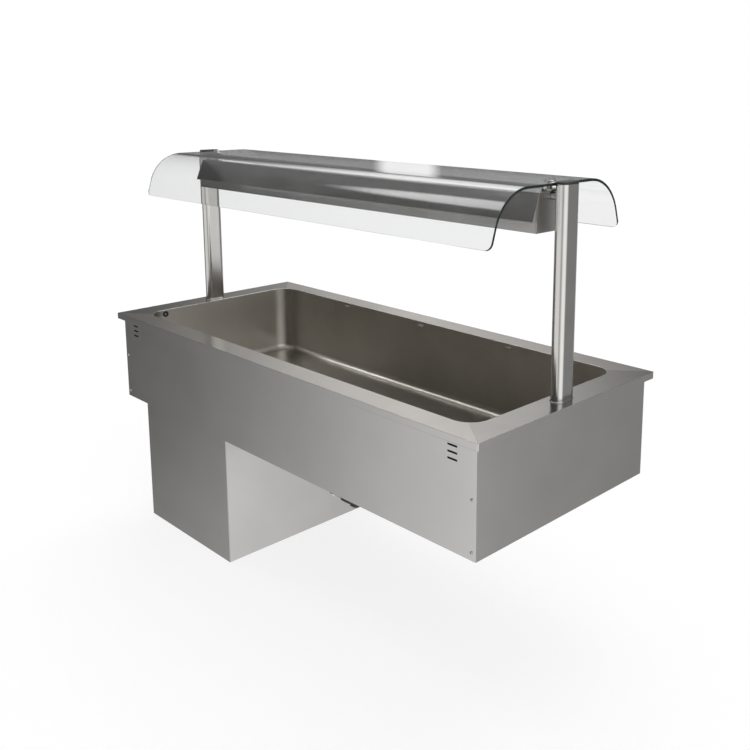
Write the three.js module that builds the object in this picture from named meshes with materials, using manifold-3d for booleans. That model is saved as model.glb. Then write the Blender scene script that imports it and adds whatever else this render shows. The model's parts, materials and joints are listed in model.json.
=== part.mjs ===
import * as THREE from 'three';
import { mergeVertices } from 'three/addons/utils/BufferGeometryUtils.js';
import Module from 'manifold-3d';

// A drop-in refrigerated food well for four gastronorm pans, with a glass canopy and a lamp above it.
// Millimetres. The origin is the middle of the worktop cut-out, at the level of the worktop.
// +X runs along the well to the right, +Y to the staff's side at the rear, +Z up.

const wasm = await Module();
wasm.setup();

// Flange, lip and tank: the pans lie side by side along the opening
const panCount = 4;
const panPitch = 325;
const openingWidth = 510;
const flangeEndBorder = 70;
const flangeSideBorder = 60;
const flangeCornerRadius = 3;
const lipDepth = 17;
const lipReturn = 10;
const tankSheet = 1.5;
const tankDepth = 207;
const tankCornerRadius = 50;
const floorCoveRadius = 18;

// Casing and compressor bay
const casingOverhang = 15;
const casingHeight = 257;
const panelSheet = 1.2;
const panelReturn = 20;
const bayOffset = 111;
const bayWidth = 413;
const bayHeight = 348;
const controlPanelHeight = 92;

// Posts, canopy and lamp housing, with levels counted from the flange
const postInset = 38;
const postDepth = 60;
const postWidth = 30;
const postWall = 2;
const postHeight = 468;
const glassLevel = 470;
const housingTopLevel = 450;
const housingEaveLevel = 388;
const housingBottomLevel = 364;

// Drain
const drainX = 0;
const drainY = -150;
const drainPipeRadius = 16.85;
const drainBore = 14;
const drainPipeDrop = 75;
const valveX = 85;

// Clearances shared by many pieces
const gap = 0.3;
const overrun = 1;

// Lengths, levels and faces that follow from the sizes above
const openingLength = panCount * panPitch;
const flangeLength = openingLength + 2 * flangeEndBorder;
const flangeWidth = openingWidth + 2 * flangeSideBorder;
const casingLength = flangeLength - 2 * casingOverhang;
const casingWidth = flangeWidth - 2 * casingOverhang;
const postSpacing = flangeLength - 2 * postInset;
const flangeTop = lipDepth;
const flangeUnder = flangeTop - tankSheet;
const floorLevel = flangeTop - tankDepth;
const tankBottom = floorLevel - tankSheet;
const casingBottom = flangeTop - casingHeight;
const casingFloor = casingBottom + panelSheet;
const casingFront = -casingWidth / 2;
const casingRear = casingWidth / 2;
const casingLeft = -casingLength / 2;
const casingRight = casingLength / 2;
const innerFront = casingFront + panelSheet;
const innerRear = casingRear - panelSheet;
const panelTop = flangeUnder - gap;
const bayLeft = casingLeft + bayOffset;
const bayRight = bayLeft + bayWidth;
const bayMiddle = (bayLeft + bayRight) / 2;
const bayBottom = casingBottom - bayHeight;
const bayFloor = bayBottom + panelSheet + gap;
const bayCeiling = casingBottom - gap;
const controlPanelBottom = casingBottom - controlPanelHeight;

// Counts of facets
const roundSides = 24;
const smallSides = 12;
const pipeSides = 8;
const cornerSteps = 5;
const coveSteps = 3;
const bendSteps = 4;
const flangeSteps = 2;

const quarter = Math.PI / 2;
const full = Math.PI * 2;

// Finishes
const metal = (color, roughness) => new THREE.MeshStandardMaterial({ color, roughness, metalness: 1 });
const dull = (color, roughness) => new THREE.MeshStandardMaterial({ color, roughness, metalness: 0 });
const brushedSteel = metal(0xb9b6b1, 0.38);
const plainSteel = metal(0xa8a8a6, 0.45);
const brass = metal(0xc2a25c, 0.35);
const copper = metal(0xb87850, 0.4);
const aluminium = metal(0xc6c8ca, 0.5);
const foam = dull(0xd9cfa6, 0.95);
const blackPlastic = dull(0x17171a, 0.5);
const blackPaint = dull(0x1c1d1f, 0.6);
const greyPlastic = dull(0xb9bcbd, 0.5);
const opal = dull(0xf2f3f0, 0.3);
const clearGlass = new THREE.MeshStandardMaterial({
  color: 0xdfe8e6, roughness: 0.05, metalness: 0, transparent: true, opacity: 0.3,
});

const unit = new THREE.Group();

function place(name, geometry, material, x = 0, y = 0, z = 0) {
  const mesh = new THREE.Mesh(geometry, material);
  mesh.name = name;
  mesh.position.set(x, y, z);
  unit.add(mesh);
}

// Joining and cutting

function toSolid(geometry) {
  const bare = geometry.clone();
  bare.deleteAttribute('normal');
  bare.deleteAttribute('uv');
  const merged = mergeVertices(bare);
  return new wasm.Manifold(new wasm.Mesh({
    numProp: 3,
    vertProperties: new Float32Array(merged.attributes.position.array),
    triVerts: new Uint32Array(merged.index.array),
  }));
}

function toGeometry(solid) {
  const mesh = solid.getMesh();
  const geometry = new THREE.BufferGeometry();
  geometry.setAttribute('position', new THREE.BufferAttribute(new Float32Array(mesh.vertProperties), 3));
  geometry.setIndex(new THREE.BufferAttribute(new Uint32Array(mesh.triVerts), 1));
  return geometry;
}

function join(...geometries) {
  return toGeometry(geometries.map(toSolid).reduce((whole, part) => whole.add(part)));
}

function cut(body, ...tools) {
  const tool = tools.map(toSolid).reduce((whole, part) => whole.add(part));
  return toGeometry(toSolid(body).subtract(tool));
}

// Simple solids

function block(x0, x1, y0, y1, z0, z1) {
  const geometry = new THREE.BoxGeometry(x1 - x0, y1 - y0, z1 - z0);
  return geometry.translate((x0 + x1) / 2, (y0 + y1) / 2, (z0 + z1) / 2);
}

// Turns a geometry made along +Z to lie along another axis: a shape's own x and y then lie in Y and Z.
function along(axis, geometry) {
  if (axis === 'x') {
    return geometry.rotateZ(quarter).rotateY(quarter);
  }
  if (axis === 'y') {
    return geometry.rotateX(-quarter);
  }
  return geometry;
}

function rod(axis, radius, start, length, sides = roundSides) {
  const geometry = new THREE.CylinderGeometry(radius, radius, length, sides);
  geometry.rotateX(quarter).translate(0, 0, length / 2);
  return along(axis, geometry).translate(...start);
}

// Turns a closed outline of [radius, height] points about an axis.
function turned(axis, outline, start, sides = roundSides) {
  const points = outline.map(([radius, height]) => new THREE.Vector2(radius, height));
  const geometry = new THREE.LatheGeometry(points, sides);
  geometry.rotateX(quarter);
  return along(axis, geometry).translate(...start);
}

function outlineShape(outline) {
  return new THREE.Shape(outline.map(([u, v]) => new THREE.Vector2(u, v)));
}

function prism(shape, z0, z1, curveSegments = cornerSteps) {
  const options = { depth: z1 - z0, bevelEnabled: false, curveSegments };
  return new THREE.ExtrudeGeometry(shape, options).translate(0, 0, z0);
}

// A shape drawn in X and Z, with its thickness from y0 to y1.
function upright(shape, y0, y1) {
  return prism(shape, 0, y1 - y0).rotateX(quarter).translate(0, y1, 0);
}

// A shape drawn in Y and Z, with its length from x0 to x1.
function sideways(shape, x0, x1) {
  return along('x', prism(shape, 0, x1 - x0)).translate(x0, 0, 0);
}

function roundedRectangle(length, width, radius) {
  const x = length / 2 - radius;
  const y = width / 2 - radius;
  const shape = new THREE.Shape();
  shape.absarc(x, -y, radius, -quarter, 0);
  shape.absarc(x, y, radius, 0, quarter);
  shape.absarc(-x, y, radius, quarter, 2 * quarter);
  shape.absarc(-x, -y, radius, 2 * quarter, 3 * quarter);
  shape.closePath();
  return shape;
}

// A straight slot or bar with round ends: its length lies in the shape's x.
function oblong(length, width) {
  const radius = width / 2;
  const reach = length / 2 - radius;
  const shape = new THREE.Shape();
  shape.absarc(reach, 0, radius, -quarter, quarter);
  shape.absarc(-reach, 0, radius, quarter, 3 * quarter);
  shape.closePath();
  return shape;
}

// The outline of sheet metal folded along a line of points, with its thickness on the left of the line.
function folded(points, thickness) {
  const path = points.map(([u, v]) => new THREE.Vector2(u, v));
  const headings = path.slice(1).map((point, index) => point.clone().sub(path[index]).normalize());
  const inner = path.map((point, index) => {
    const first = headings[Math.max(index - 1, 0)];
    const second = headings[Math.min(index, headings.length - 1)];
    const side = new THREE.Vector2(-first.y - second.y, first.x + second.x).normalize();
    return side.multiplyScalar(thickness / Math.sqrt((1 + first.dot(second)) / 2)).add(point);
  });
  return new THREE.Shape([...path, ...inner.reverse()]);
}

// A solid between closed rings of points, all with the same count, listed from the bottom up.
function loft(rings) {
  const count = rings[0].length;
  const faces = [];
  for (let level = 0; level + 1 < rings.length; level += 1) {
    for (let index = 0; index < count; index += 1) {
      const a = level * count + index;
      const b = level * count + (index + 1) % count;
      faces.push(a, b, b + count, a, b + count, a + count);
    }
  }
  const top = (rings.length - 1) * count;
  for (let index = 1; index + 1 < count; index += 1) {
    faces.push(0, index + 1, index, top, top + index, top + index + 1);
  }
  const geometry = new THREE.BufferGeometry();
  geometry.setAttribute('position', new THREE.Float32BufferAttribute(rings.flat(2), 3));
  geometry.setIndex(faces);
  return geometry;
}

function rectangleRing(length, width, radius, z) {
  const sides = [[1, -1], [1, 1], [-1, 1], [-1, -1]];
  return sides.flatMap(([sx, sy], corner) => Array.from({ length: cornerSteps + 1 }, (_, step) => {
    const angle = (corner - 1 + step / cornerSteps) * quarter;
    const x = sx * (length / 2 - radius) + radius * Math.cos(angle);
    const y = sy * (width / 2 - radius) + radius * Math.sin(angle);
    return [x, y, z];
  }));
}

// A tray shape with upright walls, round corners and a cove between the walls and the floor.
function bath(length, width, cornerRadius, coveRadius, floor, rim) {
  const rings = [];
  for (let step = 0; step <= coveSteps; step += 1) {
    const angle = (step / coveSteps) * quarter;
    const inset = coveRadius * (1 - Math.sin(angle));
    const z = floor + coveRadius * (1 - Math.cos(angle));
    rings.push(rectangleRing(length - 2 * inset, width - 2 * inset, cornerRadius - inset, z));
  }
  rings.push(rectangleRing(length, width, cornerRadius, rim));
  return loft(rings);
}

// Pipes

// A route of straight runs joined by round bends, sampled only where its direction changes.
class Route extends THREE.Curve {
  constructor(corners, bendRadius) {
    super();
    this.places = [];
    this.headings = [];
    const points = corners.map(([x, y, z]) => new THREE.Vector3(x, y, z));
    const last = points.length - 1;
    this.add(points[0], points[1].clone().sub(points[0]).normalize());
    for (let index = 1; index < last; index += 1) {
      this.bend(points[index - 1], points[index], points[index + 1], corners[index][3] ?? bendRadius);
    }
    this.add(points[last], points[last].clone().sub(points[last - 1]).normalize());
  }

  add(spot, heading) {
    this.places.push(spot);
    this.headings.push(heading);
  }

  bend(before, corner, after, radius) {
    const first = corner.clone().sub(before).normalize();
    const second = after.clone().sub(corner).normalize();
    const angle = first.angleTo(second);
    const inward = second.clone().addScaledVector(first, -first.dot(second)).normalize();
    const start = corner.clone().addScaledVector(first, -radius * Math.tan(angle / 2));
    const centre = start.clone().addScaledVector(inward, radius);
    for (let step = 0; step <= bendSteps; step += 1) {
      const turn = (angle * step) / bendSteps;
      const spot = centre.clone().addScaledVector(inward, -radius * Math.cos(turn));
      spot.addScaledVector(first, radius * Math.sin(turn));
      const heading = first.clone().multiplyScalar(Math.cos(turn)).addScaledVector(inward, Math.sin(turn));
      this.add(spot, heading);
    }
  }

  get steps() {
    return this.places.length - 1;
  }

  getPointAt(share) {
    return this.places[Math.round(share * this.steps)].clone();
  }

  getTangentAt(share) {
    return this.headings[Math.round(share * this.steps)].clone();
  }
}

// A pipe through a list of corners: a corner's fourth value, where it has one, is its own bend radius.
function pipe(corners, bendRadius, outer, inner = 0, sides = pipeSides) {
  const route = new Route(corners, bendRadius);
  const section = new THREE.Shape().absarc(0, 0, outer, 0, full);
  if (inner > 0) {
    section.holes.push(new THREE.Path().absarc(0, 0, inner, 0, full));
  }
  return new THREE.ExtrudeGeometry(section, { steps: route.steps, extrudePath: route, curveSegments: sides });
}

// Tank: flange, lip with its return, well and welded divider tabs, all one weldment

const dividerTab = { length: 17, reach: 8, thickness: 4, drop: 8 };
const postStud = { radius: 6, length: 42, holeClearance: 0.5 };
const grommet = { holeRadius: 7, flangeRadius: 9, flangeThickness: 1.6, boreRadius: 3, drop: 13, inset: 10 };
const grommetY = -openingWidth / 2 + tankCornerRadius + grommet.inset;
const grommetZ = flangeTop - grommet.drop;
const drainCup = { radius: 26, wall: 2, depth: 12, flangeRadius: 33, flangeThickness: 1.5, spigot: 22 };
const postSides = [-1, 1];

function dividerTabs() {
  const top = flangeTop - dividerTab.drop;
  const half = dividerTab.length / 2;
  const root = openingWidth / 2 + tankSheet / 2;
  const tip = openingWidth / 2 - dividerTab.reach;
  return [-panPitch, 0, panPitch].flatMap((x) => [
    block(x - half, x + half, -root, -tip, top - dividerTab.thickness, top),
    block(x - half, x + half, tip, root, top - dividerTab.thickness, top),
  ]);
}

function lipFrame(depth, z0, z1) {
  const outer = roundedRectangle(flangeLength, flangeWidth, flangeCornerRadius);
  const innerRadius = Math.max(flangeCornerRadius - depth, tankSheet / 2);
  outer.holes.push(roundedRectangle(flangeLength - 2 * depth, flangeWidth - 2 * depth, innerRadius));
  return prism(outer, z0, z1, flangeSteps);
}

function tank() {
  const plateShape = roundedRectangle(flangeLength, flangeWidth, flangeCornerRadius);
  const plate = prism(plateShape, flangeUnder, flangeTop, flangeSteps);
  const shell = bath(
    openingLength + 2 * tankSheet, openingWidth + 2 * tankSheet,
    tankCornerRadius + tankSheet, floorCoveRadius + tankSheet, tankBottom, flangeTop,
  );
  const well = bath(
    openingLength, openingWidth, tankCornerRadius, floorCoveRadius, floorLevel, flangeTop + overrun,
  );
  const through = tankSheet + 2 * overrun;
  const drainHole = rod('z', drainCup.radius + gap, [drainX, drainY, tankBottom - overrun], through);
  const grommetStart = [-openingLength / 2 - tankSheet - overrun, grommetY, grommetZ];
  const grommetHole = rod('x', grommet.holeRadius + gap, grommetStart, through, smallSides);
  const studHoles = postSides.map((side) => rod(
    'z', postStud.radius + postStud.holeClearance,
    [side * postSpacing / 2, 0, flangeUnder - overrun], through, smallSides,
  ));
  const lip = lipFrame(tankSheet, 0, flangeTop);
  const rest = lipFrame(lipReturn, 0, tankSheet);
  const hollow = cut(join(plate, shell, lip, rest), well);
  return cut(join(hollow, ...dividerTabs()), drainHole, grommetHole, ...studHoles);
}

place('well_tank', tank(), brushedSteel);

// Grommet of the temperature probe, in the left wall

function grommetBush() {
  const neck = tankSheet + 2 * gap;
  const total = 2 * grommet.flangeThickness + neck;
  return turned('x', [
    [grommet.boreRadius, 0],
    [grommet.flangeRadius, 0],
    [grommet.flangeRadius, grommet.flangeThickness],
    [grommet.holeRadius, grommet.flangeThickness],
    [grommet.holeRadius, grommet.flangeThickness + neck],
    [grommet.flangeRadius, grommet.flangeThickness + neck],
    [grommet.flangeRadius, total],
    [grommet.boreRadius, total],
    [grommet.boreRadius, 0],
  ], [-openingLength / 2 - tankSheet - gap - grommet.flangeThickness, grommetY, grommetZ], smallSides);
}

place('probe_grommet', grommetBush(), blackPlastic);

// Evaporator tube: it rises from the bay, winds up round the well and comes down outside its own loops

const evaporator = { radius: 4.8, seat: 1.5, bend: 14, loops: 3, pitch: 34, topDrop: 72, outerRun: 23 };
const evaporatorLead = { spacing: 92, below: 8 };
const evaporatorReach = tankSheet + evaporator.radius + evaporator.seat;
const evaporatorX = openingLength / 2 + evaporatorReach;
const evaporatorY = openingWidth / 2 + evaporatorReach;
const evaporatorOuterY = evaporatorY + evaporator.outerRun;
const evaporatorTurn = tankCornerRadius + evaporatorReach;
const evaporatorTop = flangeTop - evaporator.topDrop;
const evaporatorLow = evaporatorTop - (evaporator.loops - 1) * evaporator.pitch;
const evaporatorInletX = bayMiddle - evaporatorLead.spacing / 2;
const evaporatorOutletX = bayMiddle + evaporatorLead.spacing / 2;
const evaporatorEnd = casingBottom - evaporatorLead.below;

function evaporatorLoop(z, last) {
  const corners = [
    [-evaporatorX, evaporatorY, z, evaporatorTurn],
    [-evaporatorX, -evaporatorY, z, evaporatorTurn],
    [evaporatorX, -evaporatorY, z, evaporatorTurn],
  ];
  if (last) {
    corners.push([evaporatorX, evaporatorOuterY, z], [evaporatorOutletX, evaporatorOuterY, z]);
  } else {
    corners.push([evaporatorX, evaporatorY, z, evaporatorTurn], [evaporatorTurn, evaporatorY, z]);
    corners.push([-evaporatorTurn, evaporatorY, z + evaporator.pitch]);
  }
  return corners;
}

function evaporatorCoil() {
  const corners = [
    [evaporatorInletX, evaporatorY, evaporatorEnd],
    [evaporatorInletX, evaporatorY, evaporatorLow],
  ];
  for (let loop = 0; loop < evaporator.loops; loop += 1) {
    corners.push(...evaporatorLoop(evaporatorLow + loop * evaporator.pitch, loop === evaporator.loops - 1));
  }
  corners.push([evaporatorOutletX, evaporatorOuterY, evaporatorEnd]);
  return pipe(corners, evaporator.bend, evaporator.radius);
}

place('evaporator_coil', evaporatorCoil(), copper);

// Insulation between the tank and the casing, with room for the coil, the drain and the post nuts

const foamRoom = { coil: 6, lead: 8, drain: 3, nut: 3, screw: 1 };
const nut = { radius: 9.5, height: 10, flangeRadius: 14, flangeHeight: 2.5 };

const screw = { headRadius: 3.5, headHeight: 1.8, shankRadius: 1.7, shankLength: 9, holeRadius: 2.1 };
const screwPlace = { inset: 12, firstDrop: 128, secondDrop: 239.5 };

function screwPlaces() {
  const reach = casingLength / 2 - screwPlace.inset;
  const levels = [flangeTop - screwPlace.firstDrop, flangeTop - screwPlace.secondDrop];
  return [-reach, reach].flatMap((x) => levels.map((z) => [x, z]));
}

function insulationJacket() {
  const front = innerFront + panelSheet + 2 * gap;
  const end = casingRight - panelSheet - gap;
  const floor = casingFloor + gap;
  const body = block(-end, end, front, -front, floor, panelTop);
  const clear = tankSheet + gap;
  const cavity = bath(
    openingLength + 2 * clear, openingWidth + 2 * clear, tankCornerRadius + clear,
    floorCoveRadius + clear, tankBottom - gap, flangeTop,
  );
  const reach = evaporatorReach + foamRoom.coil;
  const channelDepth = evaporator.radius + foamRoom.coil;
  const channel = bath(
    openingLength + 2 * reach, openingWidth + 2 * reach, tankCornerRadius + reach,
    foamRoom.coil, evaporatorLow - channelDepth, evaporatorTop + channelDepth,
  );
  const outerRun = block(
    evaporatorOutletX - foamRoom.lead, evaporatorX + foamRoom.lead,
    evaporatorY - foamRoom.lead, evaporatorOuterY + foamRoom.lead,
    evaporatorTop - foamRoom.lead, evaporatorTop + foamRoom.lead,
  );
  const outerTurn = block(
    evaporatorX - foamRoom.lead, evaporatorX + foamRoom.lead,
    openingWidth / 2 - tankCornerRadius, evaporatorOuterY,
    evaporatorTop - foamRoom.lead, evaporatorTop + foamRoom.lead,
  );
  const screwPockets = screwPlaces().map(([x, z]) => rod(
    'y', screw.shankRadius + foamRoom.screw, [x, innerFront, z], screw.shankLength, smallSides,
  ));
  const start = floor - overrun;
  const inletShaft = rod(
    'z', foamRoom.lead, [evaporatorInletX, evaporatorY, start], evaporatorLow - start, smallSides,
  );
  const outletShaft = rod(
    'z', foamRoom.lead, [evaporatorOutletX, evaporatorOuterY, start], evaporatorTop - start, smallSides,
  );
  const drainShaft = rod(
    'z', drainCup.radius + foamRoom.drain, [drainX, drainY, start], tankBottom - start + overrun,
  );
  const nutDepth = postStud.length + foamRoom.nut;
  const nutRooms = postSides.map((side) => rod(
    'z', nut.flangeRadius + foamRoom.nut,
    [side * postSpacing / 2, 0, flangeTop - nutDepth], nutDepth, smallSides,
  ));
  const grommetRoom = grommet.flangeRadius + foamRoom.nut;
  const grommetPocket = block(
    -evaporatorX - foamRoom.lead, -openingLength / 2, grommetY - grommetRoom, grommetY + grommetRoom,
    grommetZ - grommetRoom, flangeTop,
  );
  const rooms = [inletShaft, outletShaft, drainShaft, grommetPocket, ...nutRooms, ...screwPockets];
  return cut(body, cavity, channel, outerRun, outerTurn, ...rooms);
}

place('insulation_jacket', insulationJacket(), foam);

// Casing panels

const slot = { length: 27, height: 4, pitch: 14.5, count: 3, drop: 30, inset: 51.5 };
const pipeHole = { clearance: 2.5 };

function slotCutters() {
  const reach = casingLength / 2 - slot.inset - slot.length / 2;
  const rows = Array.from({ length: slot.count }, (_, row) => flangeTop - slot.drop - row * slot.pitch);
  return [-reach, reach].flatMap((x) => rows.map((z) => (
    upright(oblong(slot.length, slot.height), casingFront - overrun, innerFront + overrun).translate(x, 0, z)
  )));
}

function screwHoles() {
  const depth = 2 * panelSheet + gap + 2 * overrun;
  return screwPlaces().map(([x, z]) => rod(
    'y', screw.holeRadius, [x, casingFront - overrun, z], depth, smallSides,
  ));
}

function frontPanel() {
  const outline = outlineShape([
    [casingLeft, casingBottom], [bayLeft, casingBottom], [bayLeft, bayBottom], [bayRight, bayBottom],
    [bayRight, casingBottom], [casingRight, casingBottom], [casingRight, panelTop], [casingLeft, panelTop],
  ]);
  return cut(upright(outline, casingFront, innerFront), ...slotCutters(), ...screwHoles());
}

// A panel with a return along its front and rear edge, facing right where side is 1 and left where it is -1.
function sidePanel(outerX, z0, z1, side) {
  const front = side * (innerFront + gap);
  const returnX = outerX - side * panelReturn;
  const path = [[returnX, front], [outerX, front], [outerX, -front], [returnX, -front]];
  return prism(folded(path, panelSheet), z0, z1);
}

// A flat plate between two side panels, notched at its corners for their returns.
function floorPlate(x0, x1, z0) {
  const notchY = panelSheet + 2 * gap;
  const [left, right] = [x0 + panelSheet + gap, x1 - panelSheet - gap];
  const [nearLeft, nearRight] = [x0 + panelReturn + gap, x1 - panelReturn - gap];
  const front = innerFront + gap;
  const step = front + notchY;
  return prism(outlineShape([
    [nearLeft, front], [nearRight, front], [nearRight, step], [right, step],
    [right, -step], [nearRight, -step], [nearRight, -front], [nearLeft, -front],
    [nearLeft, -step], [left, -step], [left, step], [nearLeft, step],
  ]), z0, z0 + panelSheet);
}

function bottomPanel() {
  const start = casingBottom - overrun;
  const through = panelSheet + 2 * overrun;
  const tubeHole = evaporator.radius + pipeHole.clearance;
  return cut(
    floorPlate(casingLeft, casingRight, casingBottom),
    rod('z', drainPipeRadius + pipeHole.clearance, [drainX, drainY, start], through),
    rod('z', tubeHole, [evaporatorInletX, evaporatorY, start], through, smallSides),
    rod('z', tubeHole, [evaporatorOutletX, evaporatorOuterY, start], through, smallSides),
  );
}

function rearPanel() {
  return block(casingLeft, casingRight, innerRear, casingRear, casingBottom, panelTop);
}

function endPanel(side) {
  return cut(sidePanel(side * casingRight, casingBottom, panelTop, side), ...screwHoles());
}

function panelScrew() {
  return turned('y', [
    [0, 0],
    [screw.headRadius, 0],
    [screw.headRadius, screw.headHeight],
    [screw.shankRadius, screw.headHeight],
    [screw.shankRadius, screw.headHeight + screw.shankLength],
    [0, screw.headHeight + screw.shankLength],
  ], [0, 0, 0], smallSides);
}

place('front_panel', frontPanel(), brushedSteel);
place('rear_panel', rearPanel(), brushedSteel);
place('right_end_panel', endPanel(1), brushedSteel);
place('left_end_panel', endPanel(-1), brushedSteel);
place('bottom_panel', bottomPanel(), plainSteel);

screwPlaces().forEach(([x, z], index) => {
  const headY = casingFront - gap - screw.headHeight;
  place(`front_panel_screw_${index + 1}`, panelScrew(), plainSteel, x, headY, z);
});

// Compressor bay: its side panels, rear grille, tray and control panel

const louvre = { length: 150, height: 6, pitch: 16, count: 9, margin: 24, split: 30 };
const trayVent = { length: 150, width: 8, pitch: 22, count: 5 };
const gland = {
  bodyRadius: 8, bore: 4.5, nutRadius: 12, nutLength: 8, domeLength: 14, holeClearance: 0.4, inset: 45,
};
const bezel = { length: 78, height: 36, thickness: 3 };
const module = { length: 70, height: 28, depth: 55 };
const switchBlock = { length: 56, height: 30, thickness: 2.5, bodyLength: 50, bodyHeight: 24, depth: 24 };
const cutOutClearance = 0.4;
const controlZ = (casingBottom + controlPanelBottom) / 2;
const controlShare = 0.2;
const glandX = bayLeft + gland.inset;
const thermostatX = bayMiddle - bayWidth * controlShare;
const switchX = bayMiddle + bayWidth * controlShare;

function grilleSlots() {
  const reach = (louvre.length + louvre.split) / 2;
  const top = controlPanelBottom - louvre.margin;
  return [-reach, reach].flatMap((x) => Array.from({ length: louvre.count }, (_, row) => (
    upright(oblong(louvre.length, louvre.height), innerRear - overrun, casingRear + overrun)
      .translate(bayMiddle + x, 0, top - louvre.height / 2 - row * louvre.pitch)
  )));
}

function sideSlots() {
  const top = controlPanelBottom - louvre.margin;
  return Array.from({ length: louvre.count }, (_, row) => (
    sideways(oblong(louvre.length, louvre.height), bayLeft - overrun, bayLeft + panelSheet + overrun)
      .translate(0, 0, top - louvre.height / 2 - row * louvre.pitch)
  ));
}

function trayVents() {
  const start = bayBottom - overrun;
  const across = oblong(trayVent.length, trayVent.width);
  return Array.from({ length: trayVent.count }, (_, row) => (
    prism(across, start, bayBottom + panelSheet + overrun)
      .translate(bayMiddle, innerFront + trayVent.pitch * (row + 1), 0)
  ));
}

function controlPanel() {
  const plate = block(bayLeft, bayRight, innerRear, casingRear, controlPanelBottom, casingBottom - gap);
  const through = (length, height, x) => {
    const [halfLength, halfHeight] = [length / 2 + cutOutClearance, height / 2 + cutOutClearance];
    return block(
      x - halfLength, x + halfLength, innerRear - overrun, casingRear + overrun,
      controlZ - halfHeight, controlZ + halfHeight,
    );
  };
  const glandStart = [glandX, innerRear - overrun, controlZ];
  return cut(
    plate,
    through(module.length, module.height, thermostatX),
    through(switchBlock.bodyLength, switchBlock.bodyHeight, switchX),
    rod('y', gland.bodyRadius + gland.holeClearance, glandStart, panelSheet + 2 * overrun),
  );
}

place('bay_right_panel', sidePanel(bayRight, bayBottom, bayCeiling, 1), brushedSteel);
place('bay_left_panel', cut(sidePanel(bayLeft, bayBottom, bayCeiling, -1), ...sideSlots()), brushedSteel);
place('bay_rear_grille', cut(
  block(bayLeft, bayRight, innerRear, casingRear, bayBottom, controlPanelBottom - gap), ...grilleSlots(),
), brushedSteel);
place('bay_base_tray', cut(floorPlate(bayLeft, bayRight, bayBottom), ...trayVents()), plainSteel);
place('control_panel', controlPanel(), brushedSteel);

// Controls: cable gland, thermostat with its buttons, and the rocker switches

function cableGland() {
  const lockNut = gland.nutLength / 2;
  const wall = lockNut + panelSheet + 2 * gap;
  const end = wall + gland.nutLength + gland.domeLength;
  return turned('y', [
    [gland.bore, 0],
    [gland.nutRadius, 0],
    [gland.nutRadius, lockNut],
    [gland.bodyRadius, lockNut],
    [gland.bodyRadius, wall],
    [gland.nutRadius, wall],
    [gland.nutRadius, wall + gland.nutLength],
    [gland.bodyRadius, end],
    [gland.bore, end],
    [gland.bore, 0],
  ], [glandX, innerRear - gap - lockNut, controlZ], smallSides);
}

place('cable_gland', cableGland(), blackPlastic);

const button = { radius: 3.2, proud: 1.2, length: 4, travel: 1, sideClearance: 0.25, pitch: 9, inset: 7.2 };
const display = { length: 34, height: 17, depth: 0.6, margin: 5 };
const buttonCount = 3;
const controlFace = casingRear + gap;
const bezelFace = controlFace + bezel.thickness;
// Seen from the rear the display is on the left, which is towards +X, and the buttons are on the right.
const buttonX = Array.from({ length: buttonCount }, (_, index) => (
  thermostatX - bezel.length / 2 + button.inset + button.pitch * index
));

function thermostat() {
  const [halfLength, halfHeight] = [bezel.length / 2, bezel.height / 2];
  const front = block(
    thermostatX - halfLength, thermostatX + halfLength, controlFace, bezelFace,
    controlZ - halfHeight, controlZ + halfHeight,
  );
  const body = block(
    thermostatX - module.length / 2, thermostatX + module.length / 2, casingRear - module.depth,
    controlFace + bezel.thickness / 2, controlZ - module.height / 2, controlZ + module.height / 2,
  );
  const windowRight = thermostatX + halfLength - display.margin;
  const window = block(
    windowRight - display.length, windowRight, bezelFace - display.depth, bezelFace + overrun,
    controlZ - display.height / 2, controlZ + display.height / 2,
  );
  const depth = button.length - button.proud + button.travel + button.sideClearance;
  const pockets = buttonX.map((x) => rod(
    'y', button.radius + button.sideClearance, [x, bezelFace - depth, controlZ], depth + overrun, smallSides,
  ));
  return cut(join(front, body), window, ...pockets);
}

place('thermostat', thermostat(), blackPlastic);
buttonX.forEach((x, index) => {
  const body = rod('y', button.radius, [0, 0, 0], button.length, smallSides);
  const backY = bezelFace + button.proud - button.length;
  place(`thermostat_button_${index + 1}`, body, greyPlastic, x, backY, controlZ);
});

const rocker = { radius: 9, width: 14, pinRadius: 1.5, pinLength: 1.6, clearance: 0.3, pitch: 22, sink: 2.5 };
const rockerFace = { cornerAngle: 1.2, dip: 2.4, tiltAngle: -0.175, arcSteps: 10 };
const switchFace = controlFace + switchBlock.thickness;
const rockerAxisY = switchFace - rocker.sink;
const rockerX = [switchX + rocker.pitch / 2, switchX - rocker.pitch / 2];

function rockerPocket(x) {
  const half = rocker.width / 2 + rocker.clearance;
  const pin = half + rocker.pinLength;
  return [
    rod('x', rocker.radius + rocker.clearance, [x - half, rockerAxisY, controlZ], 2 * half),
    rod('x', rocker.pinRadius + rocker.clearance / 2, [x - pin, rockerAxisY, controlZ], 2 * pin, smallSides),
  ];
}

function switchHousing() {
  const front = block(
    switchX - switchBlock.length / 2, switchX + switchBlock.length / 2, controlFace, switchFace,
    controlZ - switchBlock.height / 2, controlZ + switchBlock.height / 2,
  );
  const body = block(
    switchX - switchBlock.bodyLength / 2, switchX + switchBlock.bodyLength / 2,
    casingRear - switchBlock.depth, controlFace + switchBlock.thickness / 2,
    controlZ - switchBlock.bodyHeight / 2, controlZ + switchBlock.bodyHeight / 2,
  );
  return cut(join(front, body), ...rockerX.flatMap(rockerPocket));
}

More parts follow.
